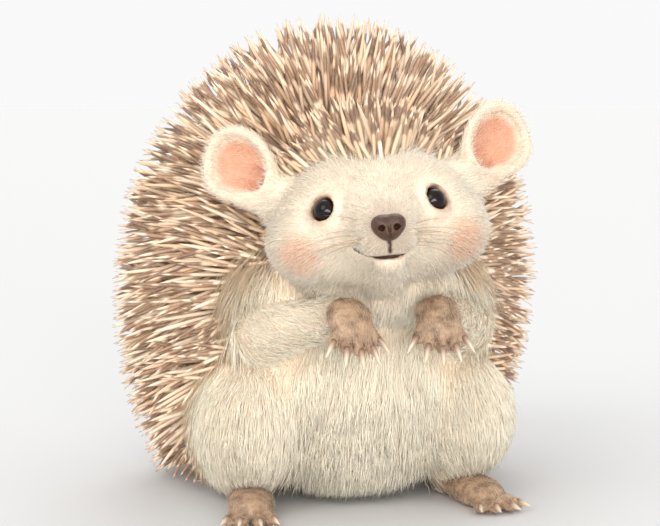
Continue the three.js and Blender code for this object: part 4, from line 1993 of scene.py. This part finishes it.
@dataclass
class Fur:
    """The fur of the face, ears, underside, limbs and tail. What is named at_ or _spread is as for quills."""

    body: Body
    markings: Markings
    ground: Ground
    seed: int = 29
    eye_clear: float = 0.75
    nose_clear: float = 0.15
    mouth_clear: float = 0.42
    ear_bare: float = 0.7
    lowest: float = 0.9
    floor: float = 0.5
    under_quills: float = 4.5
    face_shares: Pair = (0.42, 1.15)
    at_eye: Triple = (0.2, 0.6, 5.0)
    at_mouth: Triple = (0.32, 0.2, 1.8)
    at_nose: Triple = (0.35, 0.1, 3.0)
    length_spread: Triple = (0.16, 0.6, 1.45)
    radius_spread: Triple = (0.15, 0.6, 1.4)
    rim_range: Pair = (-1.5, 0.8)
    rim_longer: Pair = (0.1, 0.8)
    rim_lift: float = 12.0
    temple_least: float = 0.35
    temple_out: float = 14.0
    temple_width: float = 8.0
    lift_spread: float = 0.3
    lift_limits: Pair = (3.0, 60.0)
    bend_share: float = 0.7
    bend_spread: float = 0.05
    droop: float = 0.35
    tuft_pull: Pair = (0.15, 0.6)
    tuft_crowd: float = 1.2
    tuft_hairs: int = 6
    fewest_tufts: int = 8
    face_height: float = 0.8
    face_droop: float = 6.0
    droop_range: Pair = (-24.0, -2.0)
    ear_source: Triple = (0.0, 1.0, 4.0)
    flow_blend: float = 1.5
    pelts: tuple[Pelt, ...] = (
        Pelt("fur_face", (Part.HEAD,), 0.33, 3.7, 0.078, 13.0, 11.0, 0.10, tuft=1.4, halved=True),
        Pelt("fur_ears", (Part.EAR,), 0.36, 1.9, 0.055, 18.0, 18.0, 0.08, form=SHORT_HAIR),
        Pelt("fur_throat", (Part.THROAT,), 0.38, 6.2, 0.095, 13.0, 12.0, 0.2, tuft=2.0),
        Pelt("fur_belly", (Part.BELLY, Part.BACK), 0.38, 8.8, 0.105, 12.0, 12.0, 0.2, tuft=2.2),
        Pelt("fur_thighs", (Part.THIGH,), 0.39, 6.4, 0.095, 12.0, 12.0, 0.15, tuft=2.0),
        Pelt("fur_forelegs", (Part.FORELEG,), 0.37, 4.0, 0.085, 15.0, 12.0, 0.10, tuft=1.5),
        Pelt("fur_feet", FEET, 0.46, 1.4, 0.06, 16.0, 14.0, 0.05, form=SHORT_HAIR),
    )

    def build(self) -> None:
        """Makes each kind of fur as a piece."""
        rng = np.random.default_rng(self.seed)
        ground = self.ground.within(lambda p: self.markings.quilled(p) < self.under_quills)
        finish = FurFinish().material()
        for pelt in self.pelts:
            zone = ground.within(lambda p, on=pelt.parts: self.body.is_part(p, *on) & (p[:, 2] > self.lowest))
            roots = self.cleared(zone.scatter(pelt.spacing, rng), rng)
            for side, half in self.halves(pelt, roots).items():
                claim(self.pelt(pelt, f"{pelt.name}{side}", half, rng), finish, "fur")

    def halves(self, pelt: Pelt, roots: Roots) -> dict[str, Roots]:
        """Divides a pelt that would be too heavy as one piece.

        Args:
            pelt: The pelt.
            roots: Its roots.

        Returns:
            Each piece's roots, by the end of the piece's name.
        """
        if not pelt.halved:
            return {"": roots}
        left = self.body.in_head(roots.points)[:, 0] > 0.0
        return {"_left": roots.chosen(left), "_right": roots.chosen(~left)}

    def cleared(self, roots: Roots, rng: Chance) -> Roots:
        """Leaves out roots at the eyes, nose and mouth, and most of those inside an ear.

        Args:
            roots: The roots.
            rng: Where chance comes from.

        Returns:
            Those that stay.
        """
        head = self.body.head
        q = head.pose.inward(roots.points)
        keep = (head.lines(q) > self.mouth_clear) & (Nose.form.outside(q) > self.nose_clear)
        keep &= self.body.from_eye(roots.points) > self.eye_clear
        inner = self.body.is_part(roots.points, Part.EAR) * self.markings.at(roots.points)["peach"]
        return roots.chosen(keep & (inner * self.ear_bare < rng.random(len(roots))))

    def lengths(self, pelt: Pelt, roots: Roots, q: Array, rng: Chance) -> Array:
        """Lengths of hairs: less at the eyes, nose and mouth, and more next to the quills.

        Args:
            pelt: The pelt.
            roots: Its roots.
            q: The same places in the head's frame.
            rng: Where chance comes from.

        Returns:
            A length for each.
        """
        head = self.body.head
        long = np.full(len(roots), pelt.length)
        if Part.HEAD in pelt.parts:
            least, more = self.face_shares
            long *= least + more * head.fur_depth(q) / head.most_fur
        long *= shortened(*self.at_eye, self.body.from_eye(roots.points))
        long *= shortened(*self.at_mouth, head.lines(q))
        long *= shortened(*self.at_nose, Nose.form.outside(q))
        least, more = self.rim_longer
        long *= 1.0 + (least + more * self.at_temple(q)) * self.at_rim(roots)
        return long * varied(rng, len(roots), *self.length_spread)

    def at_rim(self, roots: Roots) -> Array:
        """How near each root is to the edge of the quills, from 0 to 1."""
        return ease(*self.rim_range, self.markings.quilled(roots.points))

    def at_temple(self, q: Array) -> Array:
        """How near points are to the side of the head over the ear, from 0 to 1."""
        over_ear = hump(np.abs(q[:, 0]) - self.temple_out, self.temple_width) * (q[:, 2] > 0.0)
        return np.clip(self.temple_least + over_ear, 0.0, 1.0)

    def drawn_together(self, size: float, roots: Roots, tips: Array, rng: Chance) -> Array:
        """How far each hair's tip is drawn towards that of the middle of its tuft.

        Args:
            size: The distance between the middles of tufts.
            roots: The hairs' roots.
            tips: The hairs' tips.
            rng: Where chance comes from.

        Returns:
            A move for each tip.
        """
        spread = roots.points.max(axis=0) - roots.points.min(axis=0)
        fitting = int(self.tuft_crowd * spread.prod() ** (2 / 3) / size**2)
        count = max(self.fewest_tufts, min(len(roots) // self.tuft_hairs, fitting))
        middles = rng.choice(len(roots), size=count, replace=False)
        tree = KDTree(count)
        for i, middle in enumerate(middles):
            tree.insert(roots.points[middle], i)
        tree.balance()
        nearest = middles[[tree.find(point)[1] for point in roots.points]]
        return (tips[nearest] - tips) * rng.uniform(*self.tuft_pull, len(roots))[:, None]

    def pelt(self, pelt: Pelt, name: str, roots: Roots, rng: Chance) -> Piece:
        """Makes one piece of fur.

        Args:
            pelt: The pelt.
            name: The piece's name.
            roots: Where its hairs stand.
            rng: Where chance comes from.

        Returns:
            The piece.
        """
        count = len(roots)
        q = self.body.in_head(roots.points)
        long = self.lengths(pelt, roots, q, rng)
        flow = swung(roots, self.flow(roots, q), np.radians(rng.normal(0.0, pelt.stray, count)))
        raised = pelt.lift + self.rim_lift * self.at_rim(roots) * self.at_temple(q)
        lift = np.radians((raised * rng.normal(1.0, self.lift_spread, count)).clip(*self.lift_limits))
        heading = leaning(roots, flow, lift)
        droop = np.array([0.0, 0.0, -self.droop])
        bend = pelt.bend * (self.bend_share * (unit(flow) - roots.normals) + droop)
        bend = bend + rng.normal(0.0, self.bend_spread, (count, 3))
        if pelt.tuft:
            tips = roots.points + (heading + bend) * long[:, None]
            bend += self.drawn_together(pelt.tuft, roots, tips, rng) / long[:, None]
        low = roots.points[:, 2] + (heading + bend)[:, 2] * long
        bend[:, 2] += np.maximum(self.floor - low, 0.0) / long
        radius = pelt.radius * varied(rng, count, *self.radius_spread)
        traits = {"tint": rng.random(count), **self.markings.at(roots.points)}
        return pelt.form.grow(name, roots, heading, bend, long, radius, traits)

    def flow(self, roots: Roots, q: Array) -> Array:
        """The way that fur lies, before chance has its say.

        Args:
            roots: Where it grows.
            q: The same places in the head's frame.

        Returns:
            A direction for each.
        """
        p, head = roots.points, self.body.head
        from_nose = (q - np.array(head.nose_tip)) * np.array([1.0, 1.0, self.face_height])
        from_nose[:, 2] -= self.face_droop * ease(*self.droop_range, q[:, 1])
        flows = {part: lie.at(p) for part, lie in LIES.items()}
        flows[Part.HEAD] = unit(from_nose) @ head.pose.turn.T
        flows[Part.EAR] = unit(q - np.array(self.ear_source)) @ head.pose.turn.T
        distance = self.body.parts(p)
        least = np.minimum.reduce([distance[part] for part in Part])
        blended = np.zeros_like(p)
        for part in Part:
            blended += np.exp(-(distance[part] - least) / self.flow_blend)[:, None] * unit(flows[part])
        return unit(blended)


@dataclass
class Whiskers:
    """The whiskers of the snout, which grow in a bed on each side of it."""

    body: Body
    ground: Ground
    bed_at: Triple = (5.0, 28.5, 3.2)
    bed_size: Triple = (3.2, 5.0, 2.4)
    bed_top: float = 1.0
    spacing: float = 1.5
    length: float = 17.0
    length_range: Pair = (0.5, 1.15)
    radius: float = 0.1
    lift: float = 38.0
    lift_spread: float = 6.0
    back: float = 0.55
    back_more: float = 0.02
    back_from: float = 28.0
    up_more: float = 0.11
    up_from: float = 3.2
    bend: Triple = (0.0, 0.12, -0.18)
    bend_spread: float = 0.07
    shades: tuple[tuple[str, float], ...] = (
        ("tan", 0.9), ("peach", 0.0), ("bare", 0.3), ("dusk", 0.6), ("face", 0.0)
    )  # fmt: skip
    seed: int = 5
    form: StrandForm = StrandForm(4, ((0.0, 1.0), (0.25, 0.85), (0.5, 0.62), (0.75, 0.38)))

    def in_bed(self, p: Array) -> Array:
        """Whether points lie in the bed of their side.

        Args:
            p: Points.

        Returns:
            An answer for each.
        """
        q = self.body.in_head(p)
        off = norm((np.abs(q) - np.array(self.bed_at)) / np.array(self.bed_size))
        return (off < 1.0) & (q[:, 1] < 0.0) & (q[:, 2] < self.bed_top)

    def build(self) -> None:
        """Makes the whiskers."""
        rng = np.random.default_rng(self.seed)
        head = self.body.head
        roots = self.ground.within(self.in_bed).scatter(self.spacing, rng)
        q = head.pose.inward(roots.points)
        count = len(roots)
        back = self.back + self.back_more * (q[:, 1] + self.back_from)
        up = self.up_more * (q[:, 2] + self.up_from)
        flow = unit(rows(count, np.sign(q[:, 0]), back, up)) @ head.pose.turn.T
        heading = leaning(roots, flow, np.radians(rng.normal(self.lift, self.lift_spread, count)))
        length = self.length * rng.uniform(*self.length_range, count)
        bend = np.array(self.bend) + rng.normal(0.0, self.bend_spread, (count, 3))
        traits = {"tint": rng.random(count), **{name: np.full(count, shade) for name, shade in self.shades}}
        piece = self.form.grow("whiskers", roots, heading, bend, length, np.full(count, self.radius), traits)
        claim(piece, FurFinish().material(), "fur")


# Eyes, nose and claws


@dataclass
class Eye:
    """An eyeball with a raised cornea."""

    name: str
    form: EyeForm
    around: int = 48
    along: int = 32
    cornea: float = 0.16
    cornea_angle: float = 0.62

    def build(self) -> None:
        """Makes the eye."""
        form, count = self.form, self.around
        theta = np.linspace(0.0, math.pi, self.along + 1)[1:-1]
        ring = hoop(form.slit, np.cross(form.axis, form.slit), count)
        reach = form.radius - self.cornea + self.cornea * np.exp(-((theta / self.cornea_angle) ** 4))
        out, forward = np.sin(theta)[:, None, None] * ring, np.cos(theta)[:, None, None] * form.axis
        poles = [form.axis * form.radius, -form.axis * (form.radius - self.cornea)]
        rings = (reach[:, None, None] * (out + forward)).reshape(-1, 3)
        front, back = len(rings), len(rings) + 1
        caps = [fan(0, front, count), fan(front - count, back, count)[:, ::-1]]
        piece = mesh_object(
            f"eyeball_{self.name}",
            np.concatenate([rings, poles]) + form.centre,
            [bands(len(theta), count), np.concatenate(caps)],
            {"off_axis": np.concatenate([np.repeat(theta, count), [0.0, math.pi]])},
        )
        claim(piece, EyeFinish().material(), "eye", [f"eye_{self.name}"])


@dataclass
class Nose:
    """The nose pad, with its nostrils and the groove between them."""

    form: ClassVar[Ellipsoid] = Ellipsoid((0.0, -36.4, -1.6), (3.4, 3.0, 2.8))
    head: HeadForm
    nostril: Ellipsoid = Ellipsoid((1.5, -38.9, -1.9), (0.55, 1.5, 0.6))
    wing: Taper = Taper((1.7, -38.9, -1.8), (3.4, -37.0, -0.9), 0.4, 0.26)
    groove: Taper = Taper((0.0, -39.6, -0.9), (0.0, -38.2, -4.2), 0.16, 0.32)
    lobe: Ellipsoid = Ellipsoid((1.7, -37.2, -0.9), (1.85, 2.1, 1.75))
    lip: Ellipsoid = Ellipsoid((0.0, -37.0, -3.0), (1.7, 1.9, 1.3))
    shrink: float = 0.3
    pad_blend: float = 1.2
    groove_blend: float = 0.35
    step: float = 0.13
    margin: float = 0.8
    most_move: float = 0.1

    def outside(self, q: Array) -> Array:
        """Distances outside the nose.

        Args:
            q: Points in the head's frame.

        Returns:
            A distance for each.
        """
        lobes = mirrored(self.lobe, q)
        pad = join(self.pad_blend, self.form.outside(q) + self.shrink, lobes, self.lip.outside(q))
        return carve(
            self.groove_blend, pad, mirrored(self.nostril, q), mirrored(self.wing, q), self.groove.outside(q)
        )

    def build(self) -> None:
        """Makes the nose."""
        gap = self.margin
        box = [(c - r - gap, c + r + gap, self.step) for c, r in zip(self.form.at, self.form.size)]
        lines = Lattice(*[(stretch,) for stretch in box]).lines()
        points, faces = net(sampled(self.outside, lines), lines)
        points, _ = settled(self.outside, points, most=self.most_move)
        piece = mesh_object("nose_pad", self.head.pose.outward(points), [faces])
        claim(piece, NoseFinish().material(), "nose", ["nose"])


@dataclass
class Claws:
    """The claws of one paw, each a curved horn that droops to its point.

    Its base is past the toe's end, in radii of the toe.
    """

    name: str
    paw: PawForm
    around: int = 10
    rings: int = 8
    base: float = 0.3
    above: float = 0.35
    wide: float = 0.92
    tall: float = 1.2
    point: Pair = (1.6, 0.8)
    waist: Pair = (0.9, 0.1)
    waist_turn: float = 3.0

    def horn(self, toe: Toe) -> Array:
        """The points of one claw.

        Args:
            toe: Its toe.

        Returns:
            Its rings, its tip and the middle of its base.
        """
        length, radius, droop = self.paw.claw
        _, end, heading = self.paw.ends(toe)
        along = np.arange(self.rings) / self.rings
        path = np.append(along, 1.0)[:, None]
        rise = np.array(UP) * (self.above - droop * path**2)
        spine = end + heading * (self.paw.radius * self.base + path * length) + rise
        least, more = self.waist
        sharp, blunt = self.point
        thick = radius * (1.0 - along**sharp) ** blunt * (least + more * np.cos(along * self.waist_turn))
        oval = hoop(np.cross(heading, UP) * self.wide, np.array(UP) * self.tall, self.around)
        rings = spine[:-1, None] + thick[:, None, None] * oval
        return np.concatenate([rings.reshape(-1, 3), [spine[-1], spine[0]]])

    def build(self) -> None:
        """Makes the claws."""
        around, toes = self.around, self.paw.toes
        tip = self.rings * around
        shaft = bands(self.rings, around)
        caps = np.concatenate([fan(tip - around, tip, around)[:, ::-1], fan(0, tip + 1, around)])
        starts = (np.arange(len(toes)) * (tip + 2))[:, None, None]
        along = np.append(np.repeat(np.arange(self.rings) / self.rings, around), [1.0, 0.0])
        piece = mesh_object(
            f"{self.name}_claws",
            self.paw.pose.outward(np.concatenate([self.horn(toe) for toe in toes])),
            [(starts + shaft).reshape(-1, 4), (starts + caps).reshape(-1, 3)],
            {"along": np.tile(along, len(toes))},
        )
        claim(piece, ClawFinish().material(), "claw", [f"{self.name}_claw_{i + 1}" for i in range(len(toes))])


# Studio


@dataclass(frozen=True)
class Lamp:
    """A broad soft light, far enough away to light the whole floor alike."""

    name: str
    azimuth: float
    elevation: float
    strength: float
    spread: float = 38.0
    tone: Triple = (1.0, 1.0, 1.0)


@dataclass
class Studio:
    """The floor, the lights and the camera."""

    azimuth: float = -14.0
    elevation: float = 5.5
    distance: float = 440.0
    middle: Triple = (0.0, -6.5, 58.5)
    image: tuple[int, int] = (660, 526)
    middle_pixel: Pair = (326.0, 250.0)
    pixels_per_mm: float = 3.915
    sensor: float = 36.0
    nearest: float = 0.01
    floor_size: float = 40000.0
    sky: float = 0.95
    lamps: tuple[Lamp, ...] = (
        Lamp("key", -50.0, 36.0, 0.9, tone=(1.0, 0.98, 0.95)),
        Lamp("fill", -6.0, 2.0, 3.3, tone=(1.0, 0.985, 0.96)),
        Lamp("rim", 160.0, 50.0, 0.7),
    )

    def direction(self, azimuth: float, elevation: float) -> Vector:
        """The way from the animal to something at an azimuth and elevation, in degrees."""
        a, e = math.radians(azimuth), math.radians(elevation)
        return Vector((math.sin(a) * math.cos(e), -math.cos(a) * math.cos(e), math.sin(e)))

    def aimed(self, thing: Piece, place: Vector, target: Vector) -> None:
        """Puts a camera or a light in the scene, looking at a target.

        Args:
            thing: The camera or light.
            place: Where it stands.
            target: The place it looks at.
        """
        bpy.context.scene.collection.objects.link(thing)
        thing.location = place * MM
        thing.rotation_euler = (target - place).to_track_quat("-Z", "Y").to_euler()

    def build(self) -> None:
        """Makes the whole studio."""
        self.build_camera()
        self.build_floor()
        for lamp in self.lamps:
            light = bpy.data.lights.new(lamp.name, "SUN")
            light.angle = math.radians(lamp.spread)
            light.energy = lamp.strength
            light.color = lamp.tone
            target = Vector(self.middle)
            place = target + self.direction(lamp.azimuth, lamp.elevation) * self.distance
            self.aimed(bpy.data.objects.new(lamp.name, light), place, target)
        world = bpy.data.worlds.new("sky")
        world.use_nodes = True
        background = world.node_tree.nodes["Background"]
        background.inputs["Color"].default_value = WHITE
        background.inputs["Strength"].default_value = self.sky
        bpy.context.scene.world = world
        bpy.context.scene.view_settings.view_transform = "Standard"
        log.info("studio: camera, floor and %d lights", len(self.lamps))

    def build_camera(self) -> None:
        """Makes the camera, so that the middle of the body falls on its pixel at its scale."""
        width, height = self.image
        lens = self.pixels_per_mm * self.distance * self.sensor / width
        back = self.direction(self.azimuth, self.elevation)
        right = Vector((math.cos(math.radians(self.azimuth)), math.sin(math.radians(self.azimuth)), 0.0))
        up = back.cross(right)
        column, row = self.middle_pixel
        aside = right * ((width / 2.0 - column) / self.pixels_per_mm)
        above = up * ((height / 2.0 - row) / self.pixels_per_mm)
        target = Vector(self.middle) + (aside - above)
        data = bpy.data.cameras.new("camera")
        data.lens = lens
        data.sensor_width = self.sensor
        data.clip_start = self.nearest
        camera = bpy.data.objects.new("camera", data)
        self.aimed(camera, target + back * self.distance, target)
        bpy.context.scene.camera = camera

    def build_floor(self) -> None:
        """Makes the floor."""
        half = self.floor_size / 2.0
        points = np.array([[-half, -half, 0.0], [half, -half, 0.0], [half, half, 0.0], [-half, half, 0.0]])
        floor = mesh_object("floor", points, [np.array([[0, 1, 2, 3]])])
        floor.data.materials.append(FloorFinish().material())
        floor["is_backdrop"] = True


def eye_form(node: str, head: HeadForm) -> EyeForm:
    """Finds an eye, which looks out square to the face.

    Args:
        node: Its node of the frame.
        head: The head.

    Returns:
        The eye.
    """
    low, high = (np.array(corner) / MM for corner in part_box(node))
    centre = (low + high) / 2.0
    _, gradient = slope(lambda p: head.outline(head.pose.inward(p)), centre[None], step=0.5)
    axis = unit(gradient)[0]
    forward = head.pose.turn @ np.array([0.0, -1.0, 0.0])
    slit = unit(forward - axis * (forward @ axis))
    return EyeForm(centre, float((high - low).mean()) / 2.0, axis, slit)


def as_lists(bounds: Any) -> list[list[float]]:
    """A box's corners as plain lists."""
    return [[float(c) for c in corner] for corner in bounds]


def main() -> None:
    """Builds the animal and its studio in order."""
    logging.basicConfig(level=logging.INFO, format="%(name)s: %(message)s", stream=sys.stdout, force=True)
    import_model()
    cad_bounds = as_lists(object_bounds())
    Studio().build()
    head = HeadForm()
    eyes = tuple(eye_form(f"eye_{name}", head) for name in SIDES)
    body = Body(eyes=eyes, head=head)
    markings = Markings(body)
    skin = Skin(body, markings)
    skin.build()
    for name, form in zip(SIDES, eyes):
        Eye(name, form).build()
    Nose(head).build()
    for name, paw in zip(SIDES, body.forepaws):
        Claws(f"forepaw_{name}", paw).build()
    for name, paw in zip(SIDES, body.hindfeet):
        Claws(f"hindfoot_{name}", paw).build()
    ground = skin.ground()
    Quills(body, markings, ground).build()
    Fur(body, markings, ground).build()
    Whiskers(body, ground).build()
    bounds = {"cad": cad_bounds, "visual": as_lists(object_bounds())}
    log.info("box of the frame %s, box of the looks %s", bounds["cad"], bounds["visual"])


if __name__ == "__main__":
    main()
